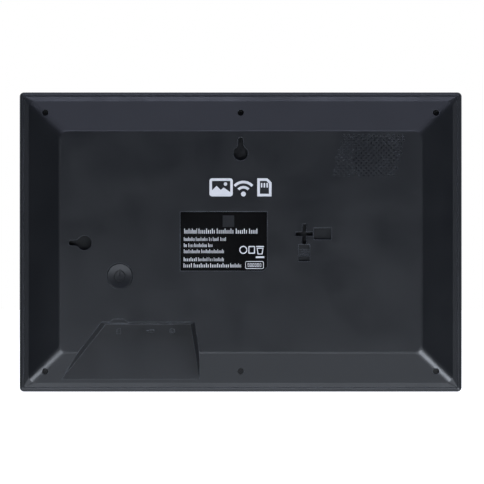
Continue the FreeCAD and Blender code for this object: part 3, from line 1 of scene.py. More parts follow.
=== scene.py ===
import json
import math
import bmesh
import bpy
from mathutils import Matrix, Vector


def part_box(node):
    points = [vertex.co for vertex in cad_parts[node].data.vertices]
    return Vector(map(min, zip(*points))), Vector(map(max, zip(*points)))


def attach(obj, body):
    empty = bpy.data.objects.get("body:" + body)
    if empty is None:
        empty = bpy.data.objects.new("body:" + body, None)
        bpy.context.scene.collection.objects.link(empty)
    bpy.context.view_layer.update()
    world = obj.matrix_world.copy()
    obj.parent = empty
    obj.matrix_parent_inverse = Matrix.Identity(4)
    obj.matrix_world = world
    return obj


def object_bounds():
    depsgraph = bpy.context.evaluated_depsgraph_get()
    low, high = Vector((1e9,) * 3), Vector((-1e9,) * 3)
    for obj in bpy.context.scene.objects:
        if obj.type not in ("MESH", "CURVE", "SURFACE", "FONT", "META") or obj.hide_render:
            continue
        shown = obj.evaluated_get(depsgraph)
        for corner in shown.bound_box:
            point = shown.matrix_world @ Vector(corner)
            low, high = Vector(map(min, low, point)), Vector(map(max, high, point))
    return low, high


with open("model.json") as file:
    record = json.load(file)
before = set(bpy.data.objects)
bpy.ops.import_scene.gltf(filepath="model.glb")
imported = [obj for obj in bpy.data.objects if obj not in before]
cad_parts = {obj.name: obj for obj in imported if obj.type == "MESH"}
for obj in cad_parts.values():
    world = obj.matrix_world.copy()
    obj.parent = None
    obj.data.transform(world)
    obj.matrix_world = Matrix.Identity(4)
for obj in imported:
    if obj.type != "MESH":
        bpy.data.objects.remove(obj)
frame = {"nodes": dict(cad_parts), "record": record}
cad_low, cad_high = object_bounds()

# A digital photo frame standing on its bottom edge, seen from behind. Lengths are in metres.
# The row frame: the screen faces -Y, the back faces +Y, +Z is up and the floor is at z = 0.

MM = 0.001
FRAME_BODY = "frame"

# ---------------------------------------------------------------- camera

CAMERA_DISTANCE = 5.0          # from the rim, a long way off, so the sides hardly show
FIELD_WIDE = 0.2780            # what the picture takes in at the rim
SENSOR_WIDE = 36.0             # in millimetres, as Blender gives it
LOOK_SIDE = -0.00076           # the middle of the picture, beside the frame's middle
SEEN_TO = 20.0                 # how far the camera sees


def add_camera():
    """A long lens straight behind the frame, level with its middle."""
    middle = (cad_low + cad_high) / 2
    rim_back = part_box("front_bezel")[1].y
    data = bpy.data.cameras.new("camera")
    data.sensor_width = SENSOR_WIDE
    data.lens = SENSOR_WIDE * CAMERA_DISTANCE / FIELD_WIDE
    data.clip_end = SEEN_TO
    camera = bpy.data.objects.new("camera", data)
    camera.location = (LOOK_SIDE, rim_back + CAMERA_DISTANCE, middle.z)
    camera.rotation_euler = (math.radians(90), 0, math.radians(180))
    bpy.context.scene.collection.objects.link(camera)
    bpy.context.scene.camera = camera


# ---------------------------------------------------------------- material toolkit


def grey(level, blue=0.0):
    """An opaque colour, neutral or a little blue."""
    return (level, level * (1 + blue / 3), level * (1 + blue), 1.0)


def tinted(colour, factor):
    """The same hue, darker or lighter."""
    return tuple(channel * factor for channel in colour[:3]) + (1.0,)


BEVEL_SAMPLES = 4
EDGE_START = 0.80              # the cosine between the rounded and the true normal: an edge below
EDGE_END = 0.99                # the first, an open face above the second


class Finish:
    """One material being made: a Principled shader and the textures that drive it."""

    def __init__(self, name, **sockets):
        self.material = bpy.data.materials.new(name)
        self.material.use_nodes = True
        self.nodes = self.material.node_tree.nodes
        self.shader = self.nodes["Principled BSDF"]
        for socket, value in sockets.items():
            self.shader.inputs[socket.replace("_", " ")].default_value = value
        self.place = self.nodes.new("ShaderNodeTexCoord").outputs["Object"]

    def link(self, source, socket):
        self.material.node_tree.links.new(source, socket)

    def drive(self, socket, source):
        self.link(source, self.shader.inputs[socket])

    def stretched(self, x, y, z):
        """The object's own coordinates, scaled by different amounts along each axis."""
        mapping = self.nodes.new("ShaderNodeMapping")
        mapping.inputs["Scale"].default_value = (x, y, z)
        self.link(self.place, mapping.inputs["Vector"])
        return mapping.outputs["Vector"]

    def noise(self, scale, detail=3.0, place=None):
        """Cloudy noise; scale is in waves per metre."""
        texture = self.nodes.new("ShaderNodeTexNoise")
        texture.inputs["Scale"].default_value = scale
        texture.inputs["Detail"].default_value = detail
        self.link(place or self.place, texture.inputs["Vector"])
        return texture.outputs["Fac"]

    def cells(self, scale, feature="F1", place=None):
        """Cells of about 1/scale metre."""
        texture = self.nodes.new("ShaderNodeTexVoronoi")
        texture.feature = feature
        texture.inputs["Scale"].default_value = scale
        self.link(place or self.place, texture.inputs["Vector"])
        return texture.outputs["Distance"]

    def ranged(self, source, low, high, start=0.3, end=0.7):
        """source between start and end, as a value between low and high."""
        node = self.nodes.new("ShaderNodeMapRange")
        node.inputs["From Min"].default_value = start
        node.inputs["From Max"].default_value = end
        node.inputs["To Min"].default_value = low
        node.inputs["To Max"].default_value = high
        self.link(source, node.inputs["Value"])
        return node.outputs["Result"]

    def blend(self, factor, first, second):
        """From first to second as factor goes from 0 to 1; each is a colour or a socket."""
        node = self.nodes.new("ShaderNodeMix")
        node.data_type = "RGBA"
        self.link(factor, node.inputs["Factor"])
        for name, colour in (("A", first), ("B", second)):
            socket = next(i for i in node.inputs if i.name == name and i.type == "RGBA")
            if isinstance(colour, tuple):
                socket.default_value = colour
            else:
                self.link(colour, socket)
        return next(o for o in node.outputs if o.type == "RGBA")

    def product(self, first, second):
        node = self.nodes.new("ShaderNodeMath")
        node.operation = "MULTIPLY"
        self.link(first, node.inputs[0])
        self.link(second, node.inputs[1])
        return node.outputs["Value"]

    def rounded(self, radius):
        """The surface normal, as if each sharp edge had this radius."""
        node = self.nodes.new("ShaderNodeBevel")
        node.samples = BEVEL_SAMPLES
        node.inputs["Radius"].default_value = radius
        return node.outputs["Normal"]

    def edge(self, rounded_normal):
        """1 along the edges, 0 on the open faces."""
        surface = self.nodes.new("ShaderNodeNewGeometry").outputs["Normal"]
        dot = self.nodes.new("ShaderNodeVectorMath")
        dot.operation = "DOT_PRODUCT"
        self.link(rounded_normal, dot.inputs[0])
        self.link(surface, dot.inputs[1])
        return self.ranged(dot.outputs["Value"], 1.0, 0.0, EDGE_START, EDGE_END)

    def bump(self, height, depth, normal=None):
        """Raises the surface by height times depth, over the given normal."""
        node = self.nodes.new("ShaderNodeBump")
        node.inputs["Strength"].default_value = 1.0
        node.inputs["Distance"].default_value = depth
        self.link(height, node.inputs["Height"])
        if normal is not None:
            self.link(normal, node.inputs["Normal"])
        return node.outputs["Normal"]


SPARK_GRAIN = 2600             # waves per metre
SPARK_DEPTH = 0.012 * MM


def moulded_plastic(name, colour, roughness, edge_wear_and_highlight_tint=1.9):
    """Matt moulded plastic: fine spark-eroded grain, handling marks, and edges lightened in patches:
    rubbed wear at a small tint, a painted highlight along the edges at a large one.
    """
    finish = Finish(name, IOR=1.49)
    smudge = finish.noise(16, detail=5)
    fleck = finish.noise(SPARK_GRAIN, detail=2)
    corner = finish.rounded(0.25 * MM)
    edge_wear_and_highlight_mask = finish.edge(corner)
    body = finish.blend(finish.ranged(smudge, 0, 1), tinted(colour, 0.9), tinted(colour, 1.1))
    flecked = finish.blend(finish.ranged(fleck, 0, 0.3), body, tinted(colour, 1.5))
    wear_and_highlight_patches = finish.noise(220, detail=3)
    patchy_wear_and_highlight = finish.product(edge_wear_and_highlight_mask, finish.ranged(wear_and_highlight_patches, 0.4, 1.0))
    # Lighter edges: rubbed wear at a small tint; at a large tint, a painted highlight in place of light
    # caught by the rounded edges.
    finish.drive("Base Color", finish.blend(patchy_wear_and_highlight, flecked, tinted(colour, edge_wear_and_highlight_tint)))
    sheen_patches = finish.noise(45, detail=6)
    finish.drive("Roughness", finish.ranged(sheen_patches, roughness - 0.05, roughness + 0.05))
    finish.drive("Normal", finish.bump(fleck, SPARK_DEPTH, corner))
    return finish.material


def glossy_plastic(name, colour, roughness=0.18):
    """Smooth moulded plastic or resin with faint flow lines and fine scratches."""
    finish = Finish(name, IOR=1.5)
    flow = finish.noise(90, detail=4, place=finish.stretched(1, 1, 4))
    scratch = finish.noise(1400, detail=2, place=finish.stretched(1, 1, 0.04))
    streaks = finish.ranged(flow, 0, 1)
    finish.drive("Base Color", finish.blend(streaks, tinted(colour, 0.85), tinted(colour, 1.15)))
    finish.drive("Roughness", finish.ranged(scratch, roughness * 0.7, roughness * 1.5))
    corner = finish.rounded(0.1 * MM)
    finish.drive("Normal", finish.bump(scratch, 0.002 * MM, corner))
    return finish.material


def resin_package(name, colour=grey(0.03)):
    """A chip's black moulded case: speckled with filler, a little rough."""
    finish = Finish(name, IOR=1.55)
    speck = finish.cells(7000)
    cloud = finish.noise(300)
    body = finish.blend(finish.ranged(cloud, 0, 1), tinted(colour, 0.8), tinted(colour, 1.3))
    filler = finish.ranged(speck, 0.5, 0, 0, 0.25)
    finish.drive("Base Color", finish.blend(filler, body, tinted(colour, 3)))
    finish.drive("Roughness", finish.ranged(cloud, 0.5, 0.68))
    finish.drive("Normal", finish.bump(speck, 0.01 * MM, finish.rounded(0.08 * MM)))
    return finish.material


def rolled_metal(name, colour, roughness=0.3, along=(1, 1, 30), stain=0.75):
    """Sheet or turned metal: fine parallel scratches, dull patches and brighter edges."""
    finish = Finish(name, Metallic=1.0)
    scratch = finish.noise(260, detail=4, place=finish.stretched(*along))
    patch = finish.noise(35, detail=5)
    corner = finish.rounded(0.08 * MM)
    body = finish.blend(finish.ranged(patch, 0, 1), tinted(colour, stain), colour)
    finish.drive("Base Color", finish.blend(finish.edge(corner), body, tinted(colour, 1.35)))
    finish.drive("Roughness", finish.ranged(scratch, roughness * 0.7, roughness * 1.4))
    finish.drive("Normal", finish.bump(scratch, 0.004 * MM, corner))
    return finish.material


def clear_glass(name, roughness=0.02, tint=(0.93, 0.95, 0.95, 1.0)):
    """Sheet glass or acrylic, with faint smears that dull its gloss here and there."""
    finish = Finish(name, IOR=1.5, Transmission_Weight=1.0)
    smear = finish.noise(18, detail=6, place=finish.stretched(1, 1, 2.5))
    dust = finish.cells(160)
    finish.drive("Roughness", finish.ranged(smear, roughness, roughness * 3))
    specks = finish.ranged(dust, 1, 0, 0, 0.04)
    finish.drive("Base Color", finish.blend(specks, tint, tinted(tint, 0.8)))
    finish.drive("Normal", finish.bump(smear, 0.002 * MM))
    return finish.material


def thin_film(name, colour, roughness=0.3, wave=500):
    """An optical or backing film: very fine ribs and slight cockling."""
    finish = Finish(name, IOR=1.55)
    ribs = finish.noise(wave, detail=1, place=finish.stretched(1, 1, 8))
    cockle = finish.noise(25, detail=2)
    waves = finish.ranged(cockle, 0, 1)
    finish.drive("Base Color", finish.blend(waves, tinted(colour, 0.92), tinted(colour, 1.05)))
    finish.drive("Roughness", finish.ranged(ribs, roughness * 0.8, roughness * 1.2))
    finish.drive("Normal", finish.bump(ribs, 0.005 * MM))
    return finish.material


def board_laminate(name, mask=(0.012, 0.11, 0.045, 1.0), track=(0.03, 0.2, 0.08, 1.0)):
    """A circuit board: solder mask over a maze of tracks, with glass weave just showing."""
    finish = Finish(name, IOR=1.55, Coat_Weight=0.4, Coat_Roughness=0.12)
    maze = finish.cells(420, feature="DISTANCE_TO_EDGE")
    weave = finish.noise(900, detail=1)
    tracks = finish.ranged(maze, 1, 0, 0.1, 0.16)
    body = finish.blend(finish.ranged(weave, 0, 0.4), mask, tinted(mask, 1.6))
    finish.drive("Base Color", finish.blend(tracks, body, track))
    finish.drive("Roughness", finish.ranged(weave, 0.28, 0.42))
    finish.drive("Normal", finish.bump(tracks, 0.02 * MM))
    return finish.material


def flex_circuit(name, film=(0.42, 0.17, 0.03, 1.0), copper=(0.6, 0.3, 0.1, 1.0)):
    """A flexible circuit: amber film over fine copper tracks that run lengthwise."""
    finish = Finish(name, IOR=1.6, Coat_Weight=0.5, Coat_Roughness=0.1)
    tracks = finish.noise(1500, detail=0, place=finish.stretched(1, 0.02, 0.02))
    cockle = finish.noise(80)
    finish.drive("Base Color", finish.blend(finish.ranged(tracks, 0, 1, 0.45, 0.55), film, copper))
    finish.drive("Roughness", finish.ranged(cockle, 0.2, 0.4))
    finish.drive("Normal", finish.bump(tracks, 0.01 * MM))
    return finish.material


def soft_foam(name, colour=grey(0.03)):
    """Open-celled foam or felt tape, with painted shade in its pores."""
    finish = Finish(name, IOR=1.4)
    pores = finish.cells(3000)
    cloud = finish.noise(400)
    pore_shade_mask = finish.ranged(pores, 0, 1, 0.1, 0.6)
    # Painted shade: each pore darker towards its middle, the walls between pores lighter.
    finish.drive("Base Color", finish.blend(pore_shade_mask, colour, tinted(colour, 2.4)))
    finish.drive("Roughness", finish.ranged(cloud, 0.85, 1.0))
    finish.drive("Normal", finish.bump(pores, 0.08 * MM))
    return finish.material


def fired_ceramic(name, colour, grain=4000):
    """Fired ceramic or sintered ferrite: matt, with a sugary grain."""
    finish = Finish(name, IOR=1.6)
    sugar = finish.noise(grain, detail=3)
    cloud = finish.noise(250)
    patches = finish.ranged(cloud, 0, 1)
    finish.drive("Base Color", finish.blend(patches, tinted(colour, 0.8), tinted(colour, 1.2)))
    finish.drive("Roughness", finish.ranged(sugar, 0.5, 0.75))
    finish.drive("Normal", finish.bump(sugar, 0.02 * MM))
    return finish.material


def pressed_paper(name, colour=(0.028, 0.026, 0.025, 1.0)):
    """Pressed paper pulp with short fibres, as in a loudspeaker cone."""
    finish = Finish(name, IOR=1.4)
    fibre = finish.noise(1800, detail=5, place=finish.stretched(1, 1, 0.25))
    strands = finish.ranged(fibre, 0, 1)
    finish.drive("Base Color", finish.blend(strands, tinted(colour, 0.6), tinted(colour, 1.8)))
    finish.drive("Roughness", finish.ranged(fibre, 0.75, 0.95))
    finish.drive("Normal", finish.bump(fibre, 0.05 * MM))
    return finish.material


def lead_jacket(name, colour):
    """The soft jacket of a thin lead: satin, with handling dust."""
    finish = Finish(name, IOR=1.5)
    dust = finish.noise(700, detail=4)
    film = finish.ranged(dust, 0, 1)
    finish.drive("Base Color", finish.blend(film, tinted(colour, 0.8), tinted(colour, 1.25)))
    finish.drive("Roughness", finish.ranged(dust, 0.35, 0.55))
    finish.drive("Normal", finish.bump(dust, 0.01 * MM))
    return finish.material


def label_film(name, colour=grey(0.0022)):
    """A black printed label: smooth film with an almost invisible orange-peel."""
    finish = Finish(name, IOR=1.4)
    peel = finish.noise(900, detail=2)
    smudge = finish.noise(30, detail=5)
    finish.drive("Base Color", finish.blend(finish.ranged(smudge, 0, 1), colour, tinted(colour, 1.6)))
    finish.drive("Roughness", finish.ranged(smudge, 0.16, 0.24))
    finish.drive("Normal", finish.bump(peel, 0.004 * MM, finish.rounded(0.06 * MM)))
    return finish.material


def screen_ink(name, colour):
    """Opaque printing ink: tiny pinholes and a soft, uneven edge to its gloss."""
    finish = Finish(name, IOR=1.45)
    mesh_marks = finish.noise(5000, detail=2)
    cloud = finish.noise(120, detail=3)
    body = finish.blend(finish.ranged(cloud, 0, 1), tinted(colour, 0.93), colour)
    pinholes = finish.ranged(mesh_marks, 0, 0.2)
    finish.drive("Base Color", finish.blend(pinholes, body, tinted(colour, 0.7)))
    finish.drive("Roughness", finish.ranged(cloud, 0.45, 0.6))
    finish.drive("Normal", finish.bump(mesh_marks, 0.003 * MM))
    return finish.material


FLOOR_GLOW = 0.97


def pale_floor(name):
    """Matt white studio paper, lit from within so that it stays white and throws light upwards."""
    finish = Finish(name, Roughness=0.9, Emission_Strength=FLOOR_GLOW)
    fibre = finish.noise(600, detail=4)
    cloud = finish.noise(1.5)
    finish.drive("Base Color", finish.blend(finish.ranged(cloud, 0, 1), grey(0.86), grey(0.9)))
    finish.drive("Emission Color", finish.blend(finish.ranged(cloud, 0, 1), grey(0.98), grey(1.0)))
    finish.drive("Normal", finish.bump(fibre, 0.02 * MM))
    return finish.material


def make_finishes():
    """One material for each material slot of the record."""
    black = grey(0.009, blue=0.25)
    steel = grey(0.6)
    return {
        "bezel_plastic": moulded_plastic("bezel_plastic", grey(0.014, blue=0.2), 0.33),
        # The rear cover's edges are painted 30 times lighter: a painted highlight along its edges, in
        # place of light caught by small roundings.
        "cover_plastic": moulded_plastic("cover_plastic", black, 0.33, edge_wear_and_highlight_tint=30),
        "button_plastic": moulded_plastic("button_plastic", black, 0.33),
        "label_film": label_film("label_film"),
        "screw_steel": rolled_metal("screw_steel", grey(0.05), 0.35),
        "bright_steel": rolled_metal("bright_steel", steel, 0.25),
        "sheet_steel": rolled_metal("sheet_steel", tinted(steel, 0.9), 0.32, along=(30, 1, 1)),
        "cover_glass": clear_glass("cover_glass"),
        "display_glass": clear_glass("display_glass", 0.01),
        "polarizer_film": thin_film("polarizer_film", grey(0.012, blue=0.15), 0.28),
        "clear_film": thin_film("clear_film", grey(0.75), 0.35),
        "clear_acrylic": clear_glass("clear_acrylic", 0.05),
        "white_film": thin_film("white_film", grey(0.85), 0.45),
        "white_plastic": moulded_plastic("white_plastic", grey(0.75), 0.45),
        "lamp_phosphor": fired_ceramic("lamp_phosphor", (0.85, 0.7, 0.2, 1.0)),
        "flex_film": flex_circuit("flex_film"),
        "foam": soft_foam("foam"),
        "tape": soft_foam("tape", grey(0.015)),
        "board_laminate": board_laminate("board_laminate"),
        "aerial_film": thin_film("aerial_film", grey(0.04), 0.4),
        "chip_resin": resin_package("chip_resin"),
        "ceramic": fired_ceramic("ceramic", (0.5, 0.37, 0.22, 1.0)),
        "radio_lid": rolled_metal("radio_lid", grey(0.62), 0.22),
        "black_resin": glossy_plastic("black_resin", grey(0.02)),
        "plated_brass": rolled_metal("plated_brass", (0.75, 0.6, 0.32, 1.0), 0.2),
        "paper_cone": pressed_paper("paper_cone"),
        "magnet_ferrite": fired_ceramic("magnet_ferrite", grey(0.09), grain=2500),
        "lead_jacket": lead_jacket("lead_jacket", (0.35, 0.012, 0.01, 1.0)),
        "coax_jacket": lead_jacket("coax_jacket", grey(0.02)),
    }


def dress_nodes(finishes):
    """Each CAD node takes the finish of its slot in the record."""
    for part in frame["record"]["subparts"]:
        slots = frame["nodes"][part["node"]].data.materials
        slots.clear()
        slots.append(finishes[part["material_slot"]])


# ---------------------------------------------------------------- flat printed shapes

INK_THICK = 0.012 * MM
INK_SUNK = 0.006 * MM          # how far the ink reaches into what it is printed on
WHITE_INK = (0.68, 0.68, 0.69, 1.0)
BORDER_INK = grey(0.006)
CORNER_STEPS = 6               # straight pieces to a quarter circle
DISK_STEPS = 24                # and to each whole circle or arc
RING_STEPS = 36
FAN_STEPS = 20
LEAST_RADIUS = 0.1 * MM        # of a box's inner corners


def arc_points(x, z, radius, start, end, steps):
    """Points on an arc about (x, z), with the angles in degrees from +X towards +Z."""
    points = []
    for step in range(steps + 1):
        angle = math.radians(start + (end - start) * step / steps)
        points.append((x + radius * math.cos(angle), z + radius * math.sin(angle)))
    return points


def circle_points(x, z, radius, steps):
    """Points all round a circle."""
    return arc_points(x, z, radius, 0, 360 - 360 / steps, steps - 1)


def rounded_points(x, z, wide, tall, radius):
    """A rounded rectangle about (x, z)."""
    points = []
    for quarter, (side, up) in enumerate(((1, 1), (-1, 1), (-1, -1), (1, -1))):
        corner_x = x + side * (wide / 2 - radius)
        corner_z = z + up * (tall / 2 - radius)
        start = 90 * quarter
        points += arc_points(corner_x, corner_z, radius, start, start + 90, CORNER_STEPS)
    return points


class Print:
    """Flat shapes of one ink on a surface that faces +Y, gathered into one mesh."""

    def __init__(self, name, surface):
        self.name = name
        self.mesh = bmesh.new()
        self.levels = (surface - INK_SUNK, surface + INK_THICK - INK_SUNK)

    def rings(self, outline):
        """The outline's vertices at the back and at the front of the ink."""
        return [[self.mesh.verts.new((x, y, z)) for x, z in outline] for y in self.levels]

    def wall(self, low, high):
        count = len(low)
        for here in range(count):
            after = (here + 1) % count
            self.mesh.faces.new((low[here], low[after], high[after], high[here]))

    def filled(self, outline):
        """A solid shape."""
        low, high = self.rings(outline)
        self.wall(low, high)
        self.mesh.faces.new(low)
        self.mesh.faces.new(high)

    def outlined(self, outer, inner):
        """A closed band between two outlines with the same number of points."""
        outer_low, outer_high = self.rings(outer)
        inner_low, inner_high = self.rings(inner)
        self.wall(outer_low, outer_high)
        self.wall(inner_low, inner_high)
        self.wall(outer_low, inner_low)
        self.wall(outer_high, inner_high)

    def bar(self, x, z, wide, tall, radius):
        self.filled(rounded_points(x, z, wide, tall, radius))

    def box_outline(self, x, z, wide, tall, radius, line):
        outer = rounded_points(x, z, wide, tall, radius)
        inner = rounded_points(x, z, wide - 2 * line, tall - 2 * line, max(radius - line, LEAST_RADIUS))
        self.outlined(outer, inner)

    def disk(self, x, z, radius):
        self.filled(circle_points(x, z, radius, DISK_STEPS))

    def ring(self, x, z, radius, line):
        outer = circle_points(x, z, radius, RING_STEPS)
        inner = circle_points(x, z, radius - line, RING_STEPS)
        self.outlined(outer, inner)

    def fan(self, x, z, radius, line, start, end):
        """Part of a ring."""
        outer = arc_points(x, z, radius, start, end, FAN_STEPS)
        inner = arc_points(x, z, radius - line, end, start, FAN_STEPS)
        self.filled(outer + inner)

    def made(self, material):
        """Makes the finished piece, which rides the frame."""
        bmesh.ops.recalc_face_normals(self.mesh, faces=self.mesh.faces)
        data = bpy.data.meshes.new(self.name)
        self.mesh.to_mesh(data)
        self.mesh.free()
        data.materials.append(material)
        piece = bpy.data.objects.new(self.name, data)
        bpy.context.scene.collection.objects.link(piece)
        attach(piece, FRAME_BODY)


MARK_TALL = 10.4 * MM
MARK_MIDDLE = 31.3 * MM        # above the frame's middle
MARK_LINE = 1.5 * MM
PICTURE_X = 11.2 * MM          # the three signs, beside the frame's middle
FAN_X = -1.6 * MM
CARD_X = -13.6 * MM
PICTURE_WIDE = 13.4 * MM
PICTURE_RADIUS = 1.6 * MM
# The hills in the picture: millimetres from its left edge and above its foot
HILL_TOPS = ((0, 2.0), (2.6, 4.6), (5.0, 2.2), (6.6, 3.6))
HILL_END = 1.0 * MM
SUN_RADIUS = 1.0 * MM
SUN_INSET = 2.7 * MM
SUN_RISE = 1.9 * MM
FAN_RADII = (4.6 * MM, 7.6 * MM)
FAN_ANGLES = (42, 138)
FAN_DOT = 1.4 * MM
CARD_WIDE = 8.2 * MM
CARD_CHAMFER = 2.4 * MM
CONTACT = (0.85 * MM, 2.6 * MM, 0.2 * MM)
CONTACT_PITCH = 1.6 * MM
CONTACT_RISE = 1.2 * MM


def print_picture_sign(marks, x, z):
    """A framed picture of hills under a sun."""
    marks.box_outline(x, z, PICTURE_WIDE, MARK_TALL, PICTURE_RADIUS, MARK_LINE)
    foot = z - MARK_TALL / 2 + MARK_LINE
    left = x + PICTURE_WIDE / 2 - MARK_LINE
    right = x - PICTURE_WIDE / 2 + MARK_LINE
    hills = [(left - across * MM, foot + up * MM) for across, up in HILL_TOPS]
    marks.filled([(left, foot)] + hills + [(right, foot + HILL_END), (right, foot)])
    marks.disk(right + SUN_INSET, z + SUN_RISE, SUN_RADIUS)


def print_fan_sign(marks, x, z):
    """Radio waves: two arcs over a dot."""
    foot = z - MARK_TALL / 2 + FAN_DOT
    marks.disk(x, foot, FAN_DOT)
    for radius in FAN_RADII:
        marks.fan(x, foot, radius, MARK_LINE, *FAN_ANGLES)


def card_outline(x, z, reach, rise, cut):
    """A card with one corner cut off."""
    return [(x - reach, z - rise), (x + reach, z - rise), (x + reach, z + rise),
            (x - reach + cut, z + rise), (x - reach, z + rise - cut)]


def print_card_sign(marks, x, z):
    """A memory card with three contacts."""
    reach = CARD_WIDE / 2
    rise = MARK_TALL / 2
    outer = card_outline(x, z, reach, rise, CARD_CHAMFER)
    inner = card_outline(x, z, reach - MARK_LINE, rise - MARK_LINE, CARD_CHAMFER - 0.6 * MARK_LINE)
    marks.outlined(outer, inner)
    for place in (-1, 0, 1):
        marks.bar(x + place * CONTACT_PITCH, z + CONTACT_RISE, *CONTACT)


def print_picture_marks(material):
    """Three plain signs in a row: a picture, a radio fan and a memory card."""
    middle = (cad_low + cad_high) / 2
    z = middle.z + MARK_MIDDLE
    marks = Print("picture_marks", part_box("rear_cover")[1].y)
    print_picture_sign(marks, middle.x + PICTURE_X, z)
    print_fan_sign(marks, middle.x + FAN_X, z)
    print_card_sign(marks, middle.x + CARD_X, z)
    marks.made(material)


# Each row of blocks on the label: its middle's height, the tallest block's height, a block's width
# and each word's first and last edge, all in millimetres, the places from the label's middle.
GREEKED_LINES = (
    (5.85, 2.9, 0.30, ((22.6, 15.3),)),
    (5.85, 2.9, 0.48, ((14.4, 5.2), (4.0, -5.5), (-6.9, -13.2), (-14.5, -19.2))),
    (1.3, 2.2, 0.30, ((22.8, 16.8), (16.0, 9.4), (8.4, 7.1), (6.2, 3.1), (1.9, -1.2))),
    (-2.2, 2.2, 0.30, ((22.8, 21.2), (20.2, 17.5), (16.8, 9.8), (8.9, 6.5))),
    (-5.7, 2.2, 0.30, ((22.8, 13.7), (12.8, 0.0))),
    (-10.3, 2.2, 0.45, ((22.9, 15.6),)),
    (-10.3, 2.2, 0.30, ((14.7, 9.4), (8.6, 6.5), (5.7, 0.0))),
    (-13.8, 2.4, 0.45, ((23.0, 18.3), (17.2, 8.7), (7.8, -2.9))),
    (-13.8, 2.4, 0.30, ((-3.8, -9.9),)),
)
BLOCK_PITCH = 2.1              # of a block's width, from one block to the next
BLOCK_RISES = (1.0, 0.7, 0.7, 0.7, 1.0, 0.7, 0.7)   # of the tallest block, one after another
BLOCK_RADIUS = 0.08 * MM


def print_greeked_lines(ink, x, z):
    """Rows of small upright blocks, which stand for small print."""
    for height, tall, weight, words in GREEKED_LINES:
        for first, last in words:
            count = max(2, round((first - last) / (weight * BLOCK_PITCH)))
            step = (first - last - weight) / (count - 1)
            for number in range(count):
                rise = tall * BLOCK_RISES[number % len(BLOCK_RISES)]
                spot = first - weight / 2 - step * number
                middle = height - (tall - rise) / 2
                ink.bar(x + spot * MM, z + middle * MM, weight * MM, rise * MM, BLOCK_RADIUS)


SIGN_LINE = 0.6 * MM
SIGN_DROP = 4.9 * MM           # the row of signs, below the label's middle
RING_X = -11.2 * MM            # and the signs, beside it
RING_RADIUS = 2.3 * MM
BOX_X = -16.0 * MM
BOX_SIZE = (3.8 * MM, 4.4 * MM, 0.5 * MM)
TUB_X = -20.8 * MM
TUB_LOW = -2.6 * MM            # from the signs' middle
TUB_HIGH = 1.2 * MM
TUB_WALL = 0.5 * MM
LID_RISE = 1.9 * MM
LID_SIZE = (4.6 * MM, SIGN_LINE, 0.2 * MM)
FOOT_BAR_DROP = 4.2 * MM
FOOT_BAR_SIZE = (4.9 * MM, 1.0 * MM, 0.2 * MM)
CODE_X = -17.6 * MM
CODE_DROP = 13.6 * MM
CODE_SIZE = (10.6 * MM, 4.4 * MM, 0.9 * MM)
CODE_LINE = 0.35 * MM
CODE_BLOCKS = 6
CODE_BLOCK_SIZE = (0.95 * MM, 2.1 * MM, 0.2 * MM)
CODE_BLOCK_LINE = 0.24 * MM
CODE_PITCH = 1.36 * MM


def tapered_points(x, low, high, low_half, high_half):
    """The outline of a tub about x, narrower at its foot."""
    return [(x - low_half, low), (x + low_half, low), (x + high_half, high), (x - high_half, high)]


def print_signs(ink, x, z):
    """A ring, a box and a lidded tub over a bar, which stand for the label's marks."""
    ink.ring(x + RING_X, z, RING_RADIUS, SIGN_LINE)
    ink.box_outline(x + BOX_X, z, *BOX_SIZE, SIGN_LINE)
    tub_x = x + TUB_X
    low = z + TUB_LOW
    high = z + TUB_HIGH
    ink.bar(tub_x, z + LID_RISE, *LID_SIZE)
    outer = tapered_points(tub_x, low, high, 1.4 * MM, 2.0 * MM)
    inner = tapered_points(tub_x, low + TUB_WALL, high - TUB_WALL, 0.9 * MM, 1.4 * MM)
    ink.outlined(outer, inner)
    ink.bar(tub_x, z - FOOT_BAR_DROP, *FOOT_BAR_SIZE)


def print_boxed_code(ink, x, z):
    """A rounded box around a row of small hollow blocks."""
    ink.box_outline(x, z, *CODE_SIZE, CODE_LINE)
    for number in range(CODE_BLOCKS):
        spot = x + (CODE_BLOCKS - 1 - 2 * number) / 2 * CODE_PITCH
        ink.box_outline(spot, z, *CODE_BLOCK_SIZE, CODE_BLOCK_LINE)


def print_label(white):
    """The rating label's printing, all of it plain shapes: greeked lines, signs and a boxed code."""
    low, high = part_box("rating_label")
    x = (low.x + high.x) / 2
    z = (low.z + high.z) / 2
    ink = Print("label_print", high.y)
    print_greeked_lines(ink, x, z)
    print_signs(ink, x, z - SIGN_DROP)
    print_boxed_code(ink, x + CODE_X, z - CODE_DROP)
    ink.made(white)


BORDER_MARGIN = 0.6 * MM       # from the glass's edge to the printing
BORDER_OVERLAP = 1.0 * MM      # how far the printing covers the display's edge
BORDER_OUTER_RADIUS = 2.6 * MM
BORDER_INNER_RADIUS = 0.4 * MM


def print_front_border(black):
    """The black band printed round the picture area, on the back of the cover glass."""
    low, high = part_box("touch_glass")
    screen_low, screen_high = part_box("front_polarizer")
    glass = high - low
    screen = screen_high - screen_low
    x = (low.x + high.x) / 2
    z = (low.z + high.z) / 2
    screen_z = (screen_low.z + screen_high.z) / 2
    border = Print("front_border", high.y)
    outer = rounded_points(x, z, glass.x - 2 * BORDER_MARGIN, glass.z - 2 * BORDER_MARGIN,
                           BORDER_OUTER_RADIUS)
    inner = rounded_points(x, screen_z, screen.x - 2 * BORDER_OVERLAP, screen.z - 2 * BORDER_OVERLAP,
                           BORDER_INNER_RADIUS)
    border.outlined(outer, inner)
    border.made(black)


# ---------------------------------------------------------------- floor and light

FLOOR_REACH = 6.0              # from its middle to its edges
FLOOR_TILES = 8


